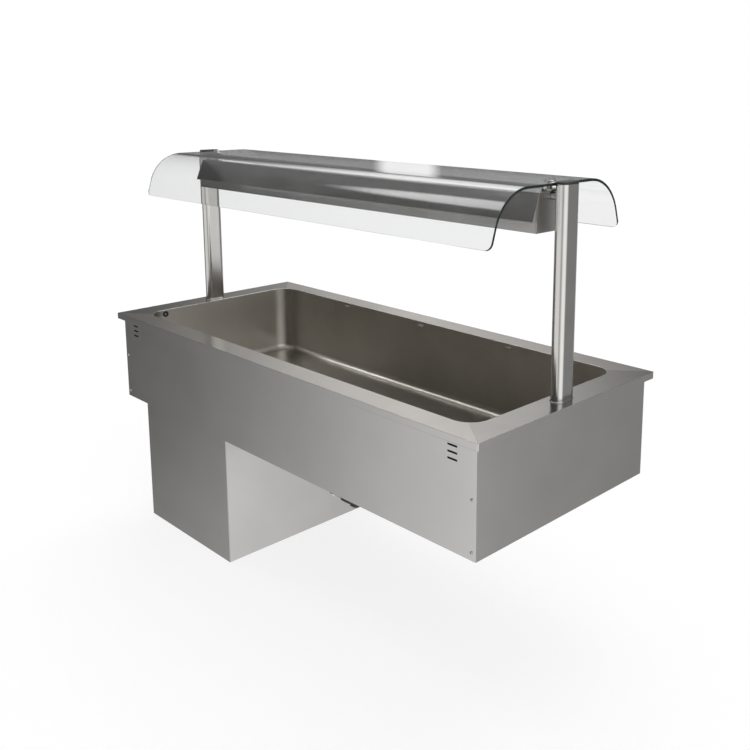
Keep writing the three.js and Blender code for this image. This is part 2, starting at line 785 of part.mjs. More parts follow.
// A rocker about its own pivot: a round back and two shallow faces, tilted to its off position.
function rockerBody() {
  const start = rockerFace.cornerAngle;
  const sweep = full - 2 * start;
  const points = Array.from({ length: rockerFace.arcSteps + 1 }, (_, step) => {
    const angle = start + (sweep * step) / rockerFace.arcSteps + rockerFace.tiltAngle;
    return [rocker.radius * Math.cos(angle), rocker.radius * Math.sin(angle)];
  });
  const { dip, tiltAngle } = rockerFace;
  points.push([dip * Math.cos(tiltAngle), dip * Math.sin(tiltAngle)]);
  const half = rocker.width / 2;
  const pin = half + rocker.pinLength - rocker.clearance;
  return join(
    sideways(outlineShape(points), -half, half),
    rod('x', rocker.pinRadius, [-pin, 0, 0], 2 * pin, smallSides),
  );
}

place('switch_block', switchHousing(), blackPlastic);
place('mains_rocker', rockerBody(), blackPaint, rockerX[0], rockerAxisY, controlZ);
place('lamp_rocker', rockerBody(), blackPaint, rockerX[1], rockerAxisY, controlZ);

// Drain: outlet, strainer, pipe and ball valve with its lever

const pipeZ = casingBottom - drainPipeDrop;
const cupBottom = floorLevel - drainCup.depth - drainCup.wall;
const outletTop = floorLevel + gap + drainCup.flangeThickness;
const spigotRadius = drainBore - gap;
const pipeBend = 28;

function drainOutlet() {
  return turned('z', [
    [spigotRadius - drainCup.wall, cupBottom - drainCup.spigot],
    [spigotRadius, cupBottom - drainCup.spigot],
    [spigotRadius, cupBottom],
    [drainCup.radius, cupBottom],
    [drainCup.radius, floorLevel + gap],
    [drainCup.flangeRadius, floorLevel + gap],
    [drainCup.flangeRadius, outletTop],
    [drainCup.radius - drainCup.wall, outletTop],
    [drainCup.radius - drainCup.wall, cupBottom + drainCup.wall],
    [spigotRadius - drainCup.wall, cupBottom + drainCup.wall],
    [spigotRadius - drainCup.wall, cupBottom - drainCup.spigot],
  ], [drainX, drainY, 0]);
}

const strainer = { radius: 30, thickness: 1.5, skirt: 6, skirtWall: 2, knobRadius: 5, knobHeight: 9 };
const strainerHole = { radius: 3, circle: 14, count: 8 };
const strainerBottom = outletTop + gap;

function strainerPlate() {
  const top = strainerBottom + strainer.thickness;
  const skirtRadius = drainCup.radius - drainCup.wall - 2 * gap;
  const plate = rod('z', strainer.radius, [0, 0, strainerBottom], strainer.thickness);
  const skirtEnd = strainerBottom - strainer.skirt;
  const skirt = rod('z', skirtRadius, [0, 0, skirtEnd], strainer.skirt + strainer.thickness / 2);
  const hollow = rod(
    'z', skirtRadius - strainer.skirtWall, [0, 0, skirtEnd - overrun], strainer.skirt + overrun,
  );
  const knobStart = top - strainer.thickness / 2;
  const knob = rod('z', strainer.knobRadius, [0, 0, knobStart], strainer.knobHeight, smallSides);
  const holes = Array.from({ length: strainerHole.count }, (_, index) => {
    const angle = (full * index) / strainerHole.count;
    const centre = [strainerHole.circle * Math.cos(angle), strainerHole.circle * Math.sin(angle)];
    const start = [...centre, strainerBottom - overrun];
    return rod('z', strainerHole.radius, start, strainer.thickness + 2 * overrun, pipeSides);
  });
  return cut(join(plate, skirt, knob), hollow, ...holes);
}

const valve = {
  bodyRadius: 21, endRadius: 20, bore: 10, half: 36, neckRadius: 8, neckReach: 27, hex: 12,
  socketDepth: 12, tailLength: 20,
};
const ball = { radius: 16, cavityClearance: 0.4, slotRadius: 3.2, slotDepth: 3 };
const stem = { tipRadius: 3, tipLength: 2.7, radius: 5, clearance: 0.2, nutRadius: 8, nutHeight: 5 };
const lever = { thickness: 3, width: 16, length: 86, drop: 30.5, hubRadius: 11 };
const sleeve = { width: 20, thickness: 9, start: 32, endLength: 18, endThickness: 13, wall: 0.3 };

function drainPipe() {
  return pipe([
    [drainX, drainY, cupBottom - gap],
    [drainX, drainY, pipeZ],
    [valveX - valve.half - gap, drainY, pipeZ],
  ], pipeBend, drainPipeRadius, drainBore, smallSides);
}

function valveBody() {
  const cavity = ball.radius + ball.cavityClearance;
  const mouth = Math.sqrt(cavity ** 2 - valve.bore ** 2);
  const arcSteps = 6;
  const arc = Array.from({ length: arcSteps + 1 }, (_, step) => {
    const x = mouth - (2 * mouth * step) / arcSteps;
    return [Math.sqrt(cavity ** 2 - x ** 2), x];
  });
  const socket = drainPipeRadius + gap;
  const shell = turned('x', [
    [socket, -valve.half - valve.socketDepth],
    [valve.endRadius, -valve.half - valve.socketDepth],
    [valve.endRadius, -valve.half + valve.hex],
    [valve.bodyRadius, -valve.half + valve.hex],
    [valve.bodyRadius, valve.half - valve.hex],
    [valve.endRadius, valve.half - valve.hex],
    [valve.endRadius, valve.half],
    [drainPipeRadius, valve.half],
    [drainPipeRadius, valve.half + valve.tailLength],
    [valve.bore, valve.half + valve.tailLength],
    ...arc,
    [valve.bore, -valve.half],
    [socket, -valve.half],
    [socket, -valve.half - valve.socketDepth],
  ], [valveX, drainY, pipeZ]);
  const neckStart = cavity + (valve.bodyRadius - cavity) / 2;
  const neckEnd = pipeZ - valve.neckReach;
  const neck = rod(
    'z', valve.neckRadius, [valveX, drainY, neckEnd], valve.neckReach - neckStart, smallSides,
  );
  const bore = rod(
    'z', stem.radius + stem.clearance, [valveX, drainY, neckEnd - overrun], valve.neckReach, smallSides,
  );
  return cut(join(shell, neck), bore);
}

function valveBall() {
  const sphere = new THREE.SphereGeometry(ball.radius, roundSides, smallSides);
  const bore = rod('x', valve.bore, [-ball.radius - overrun, 0, 0], 2 * (ball.radius + overrun), smallSides);
  const slotStart = -ball.radius - overrun;
  const slotCut = rod('z', ball.slotRadius, [0, 0, slotStart], ball.slotDepth + overrun, smallSides);
  return cut(sphere, bore, slotCut);
}

function valveStem() {
  const tip = -ball.radius + stem.tipLength;
  const shoulder = -ball.radius - 2 * gap;
  const seat = -lever.drop - lever.thickness - gap;
  return turned('z', [
    [0, seat - stem.nutHeight],
    [stem.nutRadius, seat - stem.nutHeight],
    [stem.nutRadius, seat],
    [stem.radius, seat],
    [stem.radius, shoulder],
    [stem.tipRadius, shoulder],
    [stem.tipRadius, tip],
    [0, tip],
  ], [0, 0, 0], smallSides);
}

function valveLever() {
  const half = lever.width / 2;
  const strip = oblong(lever.length + 2 * half, lever.width);
  const top = -lever.drop;
  const bar = prism(strip, top - lever.thickness, top).translate(lever.length / 2, 0, 0);
  const under = top - lever.thickness;
  const hub = rod('z', lever.hubRadius, [0, 0, under], lever.thickness);
  const hole = rod(
    'z', stem.radius + stem.clearance, [0, 0, under - overrun], lever.thickness + 2 * overrun, smallSides,
  );
  return cut(join(bar, hub), hole);
}

function leverSleeve() {
  const middle = -lever.drop - lever.thickness / 2;
  const end = lever.length + sleeve.width / 2;
  const bodyLength = end - sleeve.start;
  const top = middle + sleeve.thickness / 2;
  const body = prism(oblong(bodyLength, sleeve.width), top - sleeve.thickness, top)
    .translate(sleeve.start + bodyLength / 2, 0, 0);
  const low = top - sleeve.endThickness;
  const bulb = prism(oblong(sleeve.endLength + sleeve.width / 2, sleeve.width), low, middle)
    .translate(end - (sleeve.endLength + sleeve.width / 2) / 2, 0, 0);
  const pocketLength = lever.length + lever.width / 2 + sleeve.wall;
  const pocket = prism(
    oblong(2 * pocketLength, lever.width + 2 * sleeve.wall),
    middle - lever.thickness / 2 - sleeve.wall, middle + lever.thickness / 2 + sleeve.wall,
  );
  return cut(join(body, bulb), pocket);
}

place('drain_outlet', drainOutlet(), plainSteel);
place('drain_strainer', strainerPlate(), plainSteel, drainX, drainY, 0);
place('drain_pipe', drainPipe(), plainSteel);
place('valve_body', valveBody(), plainSteel);
place('valve_ball', valveBall(), plainSteel, valveX, drainY, pipeZ);
place('valve_stem', valveStem(), brass, valveX, drainY, pipeZ);
place('valve_lever', valveLever(), plainSteel, valveX, drainY, pipeZ);
place('valve_lever_sleeve', leverSleeve(), blackPlastic, valveX, drainY, pipeZ);

// Refrigeration set in the bay

const condenserSize = { sideRoom: 46.5, depth: 50, height: 224, rearGap: 44, plate: 2, rim: 4 };
const shroud = { depth: 24, sheet: 1.5, holeRadius: 98 };
const fan = {
  radius: 92, hubRadius: 20, hubDepth: 20, bladeCount: 5, bladeWidth: 62, bladeSheet: 2.5, bladeAngle: 0.5,
  shaftBore: 4.2,
};
const motor = {
  radius: 36, length: 50, shaftRadius: 4, fanGap: 8, armCount: 3, armWidth: 12, armSheet: 3, armReach: 6,
};
const condenserRear = innerRear - condenserSize.rearGap;
const condenserFront = condenserRear - condenserSize.depth;
const shroudFront = condenserFront - gap - shroud.depth;
const condenserTop = bayFloor + condenserSize.height;
const fanZ = bayFloor + condenserSize.height / 2;
const condenserLeft = bayLeft + condenserSize.sideRoom;
const condenserRight = bayRight - condenserSize.sideRoom;

function condenserBlock() {
  const inset = condenserSize.rim;
  const core = block(
    condenserLeft + inset / 2, condenserRight - inset / 2, condenserFront + inset, condenserRear - inset,
    bayFloor, condenserTop - inset,
  );
  const endPlate = (x) => block(
    x, x + condenserSize.plate, condenserFront, condenserRear, bayFloor, condenserTop,
  );
  return join(core, endPlate(condenserLeft), endPlate(condenserRight - condenserSize.plate));
}

function fanShroud() {
  const outer = block(
    condenserLeft, condenserRight, shroudFront, condenserFront - gap, bayFloor, condenserTop,
  );
  const inner = block(
    condenserLeft + shroud.sheet, condenserRight - shroud.sheet,
    shroudFront + shroud.sheet, condenserFront + overrun,
    bayFloor + shroud.sheet, condenserTop - shroud.sheet,
  );
  const hole = rod('y', shroud.holeRadius, [bayMiddle, shroudFront - overrun, fanZ], shroud.depth);
  return cut(outer, inner, hole);
}

// The fan about its own centre, with its shaft along Y.
function fanWheel() {
  const hub = rod('y', fan.hubRadius, [0, -fan.hubDepth / 2, 0], fan.hubDepth);
  const blade = (index) => {
    const reach = fan.radius - fan.hubRadius / 2;
    const plate = block(
      fan.hubRadius / 2, fan.hubRadius / 2 + reach, -fan.bladeSheet / 2, fan.bladeSheet / 2,
      -fan.bladeWidth / 2, fan.bladeWidth / 2,
    );
    return plate.rotateX(fan.bladeAngle).rotateY((full * index) / fan.bladeCount);
  };
  const blades = Array.from({ length: fan.bladeCount }, (_, index) => blade(index));
  const rim = fan.bladeWidth;
  const sweep = rod('y', fan.radius, [0, -rim, 0], 2 * rim);
  const wheel = toGeometry(toSolid(join(hub, ...blades)).intersect(toSolid(sweep)));
  const boreStart = -fan.hubDepth / 2 - overrun;
  const bore = rod('y', fan.shaftBore, [0, boreStart, 0], fan.hubDepth / 2 + overrun, smallSides);
  return cut(wheel, bore);
}

const fanY = shroudFront + shroud.sheet;
const bladeReach = (fan.bladeWidth / 2) * Math.sin(fan.bladeAngle) + fan.bladeSheet;
const motorFront = fanY - bladeReach - motor.fanGap - motor.length;

function fanMotor() {
  const can = rod('y', motor.radius, [bayMiddle, motorFront, fanZ], motor.length);
  const shaftEnd = fanY - gap;
  const shaft = rod('y', motor.shaftRadius, [bayMiddle, motorFront, fanZ], shaftEnd - motorFront, smallSides);
  const reach = shroud.holeRadius + motor.armReach;
  const armY = motorFront + motor.length - motor.armSheet;
  const half = motor.armWidth / 2;
  const arms = Array.from({ length: motor.armCount }, (_, index) => index).flatMap((index) => {
    const angle = (full * index) / motor.armCount;
    const turn = (geometry) => geometry.rotateY(angle).translate(bayMiddle, 0, fanZ);
    return [
      turn(block(-half, half, armY, armY + motor.armSheet, 0, reach + motor.armSheet)),
      turn(block(-half, half, armY, shroudFront - gap, reach, reach + motor.armSheet)),
    ];
  });
  return join(can, shaft, ...arms);
}

place('condenser', condenserBlock(), aluminium);
place('fan_shroud', fanShroud(), blackPaint);
place('fan_motor', fanMotor(), blackPaint);
place('condenser_fan', fanWheel(), aluminium, bayMiddle, fanY, fanZ);

const compressor = {
  radius: 75, height: 186, seamRadius: 79, seamHeight: 5, domeRadius: 52, domeHeight: 26,
  plateLength: 196, plateWidth: 170, plateCorner: 26, plateSheet: 3, offsetX: 55, y: -105,
};
const relay = { length: 26, width: 52, height: 60 };
const compressorX = bayMiddle - compressor.offsetX;
const compressorBase = bayFloor + compressor.plateSheet;
const compressorMiddle = compressorBase + compressor.height / 2;

function compressorBody() {
  const seam = compressorMiddle;
  const top = compressorBase + compressor.height;
  const can = turned('z', [
    [0, compressorBase - compressor.plateSheet / 2],
    [compressor.domeRadius, compressorBase - compressor.plateSheet / 2],
    [compressor.radius, compressorBase + compressor.domeHeight],
    [compressor.radius, seam - compressor.seamHeight],
    [compressor.seamRadius, seam - compressor.seamHeight / 2],
    [compressor.seamRadius, seam + compressor.seamHeight / 2],
    [compressor.radius, seam + compressor.seamHeight],
    [compressor.radius, top - compressor.domeHeight],
    [compressor.domeRadius, top],
    [0, top],
  ], [compressorX, compressor.y, 0]);
  const plateShape = roundedRectangle(compressor.plateLength, compressor.plateWidth, compressor.plateCorner);
  const plate = prism(plateShape, bayFloor, compressorBase).translate(compressorX, compressor.y, 0);
  const cover = block(
    compressorX - compressor.radius - relay.length, compressorX - compressor.radius / 2,
    compressor.y - relay.width / 2, compressor.y + relay.width / 2,
    seam + compressor.seamHeight, seam + compressor.seamHeight + relay.height,
  );
  return join(can, plate, cover);
}

place('compressor', compressorBody(), blackPaint);

const line = { radius: 4, bend: 16, suctionRadius: 6, capillaryRadius: 1.6, capillaryBend: 10 };
const lineRoom = { side: 24.5, ceiling: 18, inlet: 40, outlet: 26 };
const drier = { radius: 10, length: 110, neck: 12, bottom: 130, offsetY: 40 };
const port = { discharge: 22, suction: -34, dischargeDrop: 50, suctionDrop: 66 };
const lineX = condenserRight + lineRoom.side;
const lineCeiling = casingBottom - lineRoom.ceiling;
const lineY = (condenserFront + condenserRear) / 2;
const condenserInletZ = condenserTop - lineRoom.inlet;
const condenserOutletZ = bayFloor + lineRoom.outlet;
const dischargeZ = compressorBase + compressor.height - port.dischargeDrop;
const suctionZ = compressorBase + compressor.height - port.suctionDrop;
const drierZ = bayFloor + drier.bottom;
const drierY = compressor.y - drier.offsetY;

// The X where a tube of the given radius meets the compressor's round wall at a distance from its middle.
function compressorWall(offsetY, radius) {
  return compressorX + Math.sqrt(compressor.radius ** 2 - (Math.abs(offsetY) - radius) ** 2) + gap;
}

function dischargeLine() {
  const y = compressor.y + port.discharge;
  return pipe([
    [compressorWall(port.discharge, line.radius), y, dischargeZ],
    [lineX, y, dischargeZ],
    [lineX, y, condenserInletZ],
    [lineX, lineY, condenserInletZ],
    [condenserRight + gap, lineY, condenserInletZ],
  ], line.bend, line.radius);
}

function filterDrier() {
  const inlet = pipe([
    [condenserRight + gap, lineY, condenserOutletZ],
    [lineX, lineY, condenserOutletZ],
    [lineX, drierY, condenserOutletZ],
    [lineX, drierY, drierZ + drier.neck / 2],
  ], line.bend, line.radius);
  const can = turned('z', [
    [0, drierZ],
    [line.radius, drierZ],
    [drier.radius, drierZ + drier.neck],
    [drier.radius, drierZ + drier.length - drier.neck],
    [line.radius, drierZ + drier.length],
    [0, drierZ + drier.length],
  ], [lineX, drierY, 0], smallSides);
  return join(inlet, can);
}

function capillaryLine() {
  return pipe([
    [lineX, drierY, drierZ + drier.length + gap],
    [lineX, drierY, lineCeiling],
    [evaporatorInletX, drierY, lineCeiling],
    [evaporatorInletX, evaporatorY, lineCeiling],
    [evaporatorInletX, evaporatorY, evaporatorEnd - gap],
  ], line.capillaryBend - line.capillaryRadius, line.capillaryRadius);
}

function suctionLine() {
  const y = compressor.y + port.suction;
  const level = lineCeiling - line.suctionRadius - line.bend;
  return pipe([
    [evaporatorOutletX, evaporatorOuterY, evaporatorEnd - gap],
    [evaporatorOutletX, evaporatorOuterY, level],
    [evaporatorOutletX, y, level],
    [evaporatorOutletX, y, suctionZ],
    [compressorWall(port.suction, line.suctionRadius), y, suctionZ],
  ], line.bend, line.suctionRadius);
}

place('filter_drier', filterDrier(), copper);
place('discharge_line', dischargeLine(), copper);
place('capillary_line', capillaryLine(), copper);
place('suction_line', suctionLine(), copper);

const electrics = { depth: 62, width: 130, height: 150, radius: 5, frontGap: 12, topGap: 20 };

function electricalBox() {
  const x = bayLeft + panelSheet + gap;
  const y = innerFront + panelSheet + electrics.frontGap + electrics.width / 2;
  const top = bayCeiling - electrics.topGap;
  const face = roundedRectangle(electrics.width, electrics.height, electrics.radius);
  return sideways(face, x, x + electrics.depth).translate(0, y, top - electrics.height / 2);
}

place('electrical_box', electricalBox(), greyPlastic);

// Posts with their studs, nuts and caps

const spacer = { radius: 9, spigotRadius: 4.7, spigotLength: 4, belowTop: 10, length: 22 };
const cap = { height: 5, plugDepth: 10, plugClearance: 0.3, dome: 1.5 };
const postFoot = 6;
const postTop = flangeTop + postHeight;
const spacerZ = flangeTop + housingTopLevel - spacer.belowTop;

function post(side) {
  const bottom = flangeTop + gap;
  const outer = oblong(postDepth, postWidth);
  const inner = oblong(postDepth - 2 * postWall, postWidth - 2 * postWall);
  const tube = prism(outer, bottom, postTop, cornerSteps + 1);
  const bore = prism(inner, bottom + postFoot, postTop + overrun, cornerSteps + 1);
  const studStart = flangeTop - postStud.length;
  const stud = rod('z', postStud.radius, [0, 0, studStart], postStud.length + postFoot / 2, smallSides);
  const innerWall = -side * postWidth / 2;
  const holeStart = [innerWall - postWall - overrun, 0, spacerZ];
  const hole = rod('x', spacer.spigotRadius + gap, holeStart, 2 * postWall + 2 * overrun, smallSides);
  const turnedTube = cut(tube, bore).rotateZ(quarter);
  return cut(join(turnedTube, stud), hole);
}

function postNut() {
  const top = flangeUnder - gap;
  return turned('z', [
    [postStud.radius + gap, top - nut.flangeHeight - nut.height],
    [nut.radius, top - nut.flangeHeight - nut.height],
    [nut.radius, top - nut.flangeHeight],
    [nut.flangeRadius, top - nut.flangeHeight],
    [nut.flangeRadius, top],
    [postStud.radius + gap, top],
    [postStud.radius + gap, top - nut.flangeHeight - nut.height],
  ], [0, 0, 0], smallSides);
}

function postCap() {
  const base = postTop + gap;
  const steps = cornerSteps + 1;
  const shrink = 2 * (postWall + cap.plugClearance);
  const layer = (inset, z0, z1) => prism(oblong(postDepth - inset, postWidth - inset), z0, z1, steps);
  const rim = layer(0, base, base + cap.height - cap.dome);
  const crown = layer(2 * cap.dome, base, base + cap.height);
  const plug = layer(shrink, base - cap.plugDepth, base + cap.dome);
  return join(rim, crown, plug).rotateZ(quarter);
}

postSides.forEach((side) => {
  const name = side < 0 ? 'left' : 'right';
  const x = (side * postSpacing) / 2;
  place(`${name}_post`, post(side), brushedSteel, x);
  place(`${name}_post_nut`, postNut(), plainSteel, x);
  place(`${name}_post_cap`, postCap(), blackPlastic, x);
});

// Lamp housing between the posts, with its end plates, lamp strip and diffuser

const housing = { sheet: 1.2, topHalf: 44, eaveHalf: 67, frameHalf: 54, ledgeHalf: 44 };
const clampBoss = { radius: 6, holeRadius: 3.4, footRadius: 17, footHeight: 5, inset: 9 };
const clampScrew = { radius: 3, length: 16, capRadius: 12, capHeight: 3 };
const glassSheet = {
  thickness: 6, endGap: 1, flatHalf: 110, bendRadius: 106, bendAngle: 1.27, skirt: 46, cornerRadius: 16,
};
const diffuser = { thickness: 3, endGap: 4 };
const lampStrip = { width: 24, height: 10, endGap: 20 };
const postInner = postSpacing / 2 - postWidth / 2;
const housingEnd = postInner - spacer.length;
const [housingTop, housingEave, housingBottom] = [housingTopLevel, housingEaveLevel, housingBottomLevel]
  .map((level) => flangeTop + level);
const glassTop = flangeTop + glassLevel;
const glassUnder = glassTop - glassSheet.thickness;
const clampX = housingEnd - clampBoss.inset;

// Half of the housing's outside, from the middle of its top down to its lower edge, as [y, z] points.
function housingSide(sign) {
  return [
    [sign * housing.topHalf, housingTop],
    [sign * housing.eaveHalf, housingEave],
    [sign * housing.frameHalf, housingEave],
    [sign * housing.frameHalf, housingBottom],
  ];
}

function housingShell() {
  const reach = housingEnd - housing.sheet - gap;
  const rear = [[housing.ledgeHalf, housingBottom], ...housingSide(1).reverse()];
  const front = [...housingSide(-1), [-housing.ledgeHalf, housingBottom]];
  const shell = sideways(folded([...rear, ...front], housing.sheet), -reach, reach);
  const root = housingTop - housing.sheet / 2;
  const bosses = postSides.flatMap((side) => [
    rod('z', clampBoss.radius, [side * clampX, 0, root], glassUnder - gap - root, smallSides),
    rod('z', clampBoss.footRadius, [side * clampX, 0, housingTop + gap], clampBoss.footHeight),
  ]);
  const holeStart = housingTop - housing.sheet - overrun;
  const holes = postSides.map((side) => rod(
    'z', clampBoss.holeRadius, [side * clampX, 0, holeStart], glassUnder - holeStart, smallSides,
  ));
  return cut(join(shell, ...bosses), ...holes);
}

function housingEndPlate() {
  const plate = outlineShape([...housingSide(1).reverse(), ...housingSide(-1)]);
  const through = housing.sheet + 2 * overrun;
  const hole = rod('x', spacer.spigotRadius + gap, [-overrun, 0, spacerZ], through, smallSides);
  return cut(sideways(plate, 0, housing.sheet), hole);
}

function housingSpacer() {
  const body = rod('x', spacer.radius, [gap, 0, spacerZ], spacer.length - 2 * gap);
  const whole = spacer.length + 2 * spacer.spigotLength;
  const spigot = rod('x', spacer.spigotRadius, [-spacer.spigotLength, 0, spacerZ], whole, smallSides);
  return join(body, spigot);
}

// The glass section from the rear edge over the top to the front edge, as [y, z] points on its outside.
function glassOutline() {
  const { flatHalf, bendRadius, bendAngle, skirt } = glassSheet;
  const bendStep = bendAngle / (2 * cornerSteps);
  const half = Array.from({ length: 2 * cornerSteps + 1 }, (_, step) => {
    const angle = bendStep * step;
    return [flatHalf + bendRadius * Math.sin(angle), glassTop - bendRadius * (1 - Math.cos(angle))];
  });
  const [edgeY, edgeZ] = half[half.length - 1];
  half.push([edgeY + skirt * Math.cos(bendAngle), edgeZ - skirt * Math.sin(bendAngle)]);
  return [...half.toReversed(), ...half.map(([y, z]) => [-y, z])];
}

function glassCanopy() {
  const outline = glassOutline();
  const reach = postInner - glassSheet.endGap;
  const sheet = sideways(folded(outline, glassSheet.thickness), -reach, reach);
  const [tipY, tipZ] = outline[0];
  const radius = glassSheet.cornerRadius;
  const low = tipZ - glassSheet.thickness;
  const far = tipY + glassSheet.thickness;
  const corners = postSides.map((side) => {
    const inner = side * (reach - radius);
    const outer = side * (reach + overrun);
    const square = block(Math.min(inner, outer), Math.max(inner, outer), -far, far, low, tipZ + radius);
    return cut(square, rod('y', radius, [inner, -far - overrun, tipZ + radius], 2 * (far + overrun)));
  });
  const through = glassSheet.thickness + 2 * overrun;
  const holes = postSides.map((side) => rod(
    'z', clampBoss.holeRadius, [side * clampX, 0, glassUnder - overrun], through, smallSides,
  ));
  return cut(sheet, ...corners, ...holes);
}

function glassClamp() {
  const base = glassTop + gap;
  return turned('z', [
    [0, base - clampScrew.length],
    [clampScrew.radius, base - clampScrew.length],
    [clampScrew.radius, base],
    [clampScrew.capRadius, base],
    [clampScrew.capRadius, base + clampScrew.capHeight],
    [0, base + clampScrew.capHeight],
  ], [0, 0, 0]);
}

function lampDiffuser() {
  const reach = housingEnd - housing.sheet - diffuser.endGap;
  const half = housing.frameHalf - housing.sheet - gap;
  const bottom = housingBottom + housing.sheet + gap;
  return block(-reach, reach, -half, half, bottom, bottom + diffuser.thickness);
}

function lampStripBody() {
  const reach = clampX - clampBoss.footRadius - lampStrip.endGap;
  const top = housingTop - housing.sheet - gap;
  return block(-reach, reach, -lampStrip.width / 2, lampStrip.width / 2, top - lampStrip.height, top);
}

place('glass_canopy', glassCanopy(), clearGlass);
place('lamp_housing', housingShell(), brushedSteel);
place('lamp_diffuser', lampDiffuser(), opal);
place('lamp_strip', lampStripBody(), aluminium);
postSides.forEach((side) => {
  const name = side < 0 ? 'left' : 'right';
  const plateX = side < 0 ? -housingEnd : housingEnd - housing.sheet;
  const spacerX = side < 0 ? -postInner : housingEnd;
  place(`${name}_housing_plate`, housingEndPlate(), brushedSteel, plateX);
  place(`${name}_housing_spacer`, housingSpacer(), plainSteel, spacerX);
  place(`${name}_glass_clamp`, glassClamp(), plainSteel, side * clampX);
});

export default unit;
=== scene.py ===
# %% [markdown]
# # A drop-in food well, dressed for its photograph
#
# A refrigerated well for four pans hangs in a worktop. A curved glass canopy and a lamp housing
# stand on two posts above it, and a compressor bay hangs below its left half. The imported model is
# the fixed frame: every piece made here takes the place of one of its nodes and moves with its
# body. Lengths are in millimetres in the script and become metres when a mesh is made.

# %% The frame and the shared units
import json
import math

import bmesh
import bpy
from mathutils import Matrix, Vector


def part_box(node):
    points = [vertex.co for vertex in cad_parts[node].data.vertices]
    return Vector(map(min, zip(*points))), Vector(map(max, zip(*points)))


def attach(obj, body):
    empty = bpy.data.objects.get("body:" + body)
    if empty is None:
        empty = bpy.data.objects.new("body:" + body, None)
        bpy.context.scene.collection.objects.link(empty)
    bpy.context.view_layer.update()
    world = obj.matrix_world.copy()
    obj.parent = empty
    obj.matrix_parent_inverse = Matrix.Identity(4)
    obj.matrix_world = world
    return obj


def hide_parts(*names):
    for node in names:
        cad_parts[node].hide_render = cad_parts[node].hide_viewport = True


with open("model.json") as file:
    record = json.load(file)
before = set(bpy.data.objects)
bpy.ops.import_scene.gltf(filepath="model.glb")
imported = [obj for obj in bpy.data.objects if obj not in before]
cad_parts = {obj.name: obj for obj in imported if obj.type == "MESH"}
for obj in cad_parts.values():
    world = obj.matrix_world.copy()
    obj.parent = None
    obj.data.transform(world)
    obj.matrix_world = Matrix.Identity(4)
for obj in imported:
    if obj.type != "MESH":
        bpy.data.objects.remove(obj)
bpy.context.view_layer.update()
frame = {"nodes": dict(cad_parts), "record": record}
mm = 0.001
quarter = math.pi / 2
full = math.pi * 2

# %% [markdown]
# ## Sizes
# A visible piece has to sit exactly where its node sits, so the sizes that the model was drawn
# with are repeated here once, and every shape below is worked out from them.

# %% Sizes of the well, the casing and the bay
flange_length, flange_width, flange_top = 1440, 630, 17
opening_length, opening_width = 1300, 510
flange_corner, opening_corner, cove_radius = 3, 50, 18
floor_level = -190
tank_sheet, lip_return = 1.5, 10
pan_pitch = 325
casing_length, casing_width = 1410, 600
casing_bottom, panel_top = -240, 15.2
panel_sheet = 1.2
bay_left, bay_right, bay_bottom = -594, -181, -588
bay_middle = (bay_left + bay_right) / 2
bay_floor = -586.5
gap = 0.3
inner_rear = casing_width / 2 - panel_sheet
print("well opening:", opening_length, "by", opening_width, "mm")

# %% Sizes above the flange and under the casing
post_x, post_depth, post_width, post_wall = 682, 60, 30, 2
post_foot, post_top = 17.3, 485
glass_top, glass_sheet, glass_reach = 487, 6, 666
glass_flat, glass_bend, glass_bend_angle, glass_skirt, glass_corner = 110, 106, 1.27, 46, 16
glass_arris = 1.5
housing_reach, housing_sheet = 643.5, 1.2
housing_top, housing_eave, housing_bottom = 467, 405, 381
clamp_x = 636
drain_x, drain_y, pipe_z = 0, -150, -315
valve_x = 85
control_z = -286
print("height from bay to glass:", glass_top - bay_bottom, "mm")

# %% [markdown]
# ## Mesh helpers
# Sheet, tube and turned parts are simple sections carried along something. A shape is a bmesh in
# millimetres: rings of points make lofts, turned outlines make round pieces, outlines with holes
# make plates, and routes with rounded corners make pipes. Modifiers could do that too, but point by
# point every size stays exact.

# %% Outlines
def arc(centre, radius, start, end, steps):
    angles = [start + (end - start) * step / steps for step in range(steps + 1)]
    return [(centre[0] + radius * math.cos(a), centre[1] + radius * math.sin(a)) for a in angles]


def rounded_rectangle(length, width, radius, steps=8, centre=(0, 0)):
    u, v = length / 2 - radius, width / 2 - radius
    points = []
    for index, (su, sv) in enumerate(((1, -1), (1, 1), (-1, 1), (-1, -1))):
        corner = (centre[0] + su * u, centre[1] + sv * v)
        points += arc(corner, radius, (index - 1) * quarter, index * quarter, steps)
    return points


def oblong(length, width, steps, centre=(0, 0)):
    radius = width / 2
    reach = length / 2 - radius
    right = arc((centre[0] + reach, centre[1]), radius, -quarter, quarter, steps)
    left = arc((centre[0] - reach, centre[1]), radius, quarter, 3 * quarter, steps)
    return right + left


def circle(centre, radius, steps=24):
    return arc(centre, radius, 0, full, steps)[:-1]


def rounded(points, bends, steps):
    """A line through points, flat or in space, with each inner corner rounded by its own bend."""
    places = [Vector(points[0])]
    for before, corner, after, bend in zip(points, points[1:], points[2:], bends):
        here = Vector(corner)
        first = (here - Vector(before)).normalized()
        second = (Vector(after) - here).normalized()
        angle = first.angle(second)
        inward = (second - first * first.dot(second)).normalized()
        start = here - first * bend * math.tan(angle / 2)
        for step in range(steps + 1):
            turn = angle * step / steps
            places.append(start + inward * bend * (1 - math.cos(turn)) + first * bend * math.sin(turn))
    places.append(Vector(points[-1]))
    return places


def headings(path):
    """The direction of a path at each of its points."""
    last = len(path) - 1
    return [(path[min(i + 1, last)] - path[max(i - 1, 0)]).normalized() for i in range(last + 1)]


def thickened(path, thickness):
    """The closed outline of sheet laid along a path, with its thickness on the left."""
    inner = []
    for point, heading in zip(path, headings(path)):
        inner.append(point + Vector((-heading.y, heading.x)) * thickness)
    return [tuple(p) for p in path] + [tuple(p) for p in reversed(inner)]


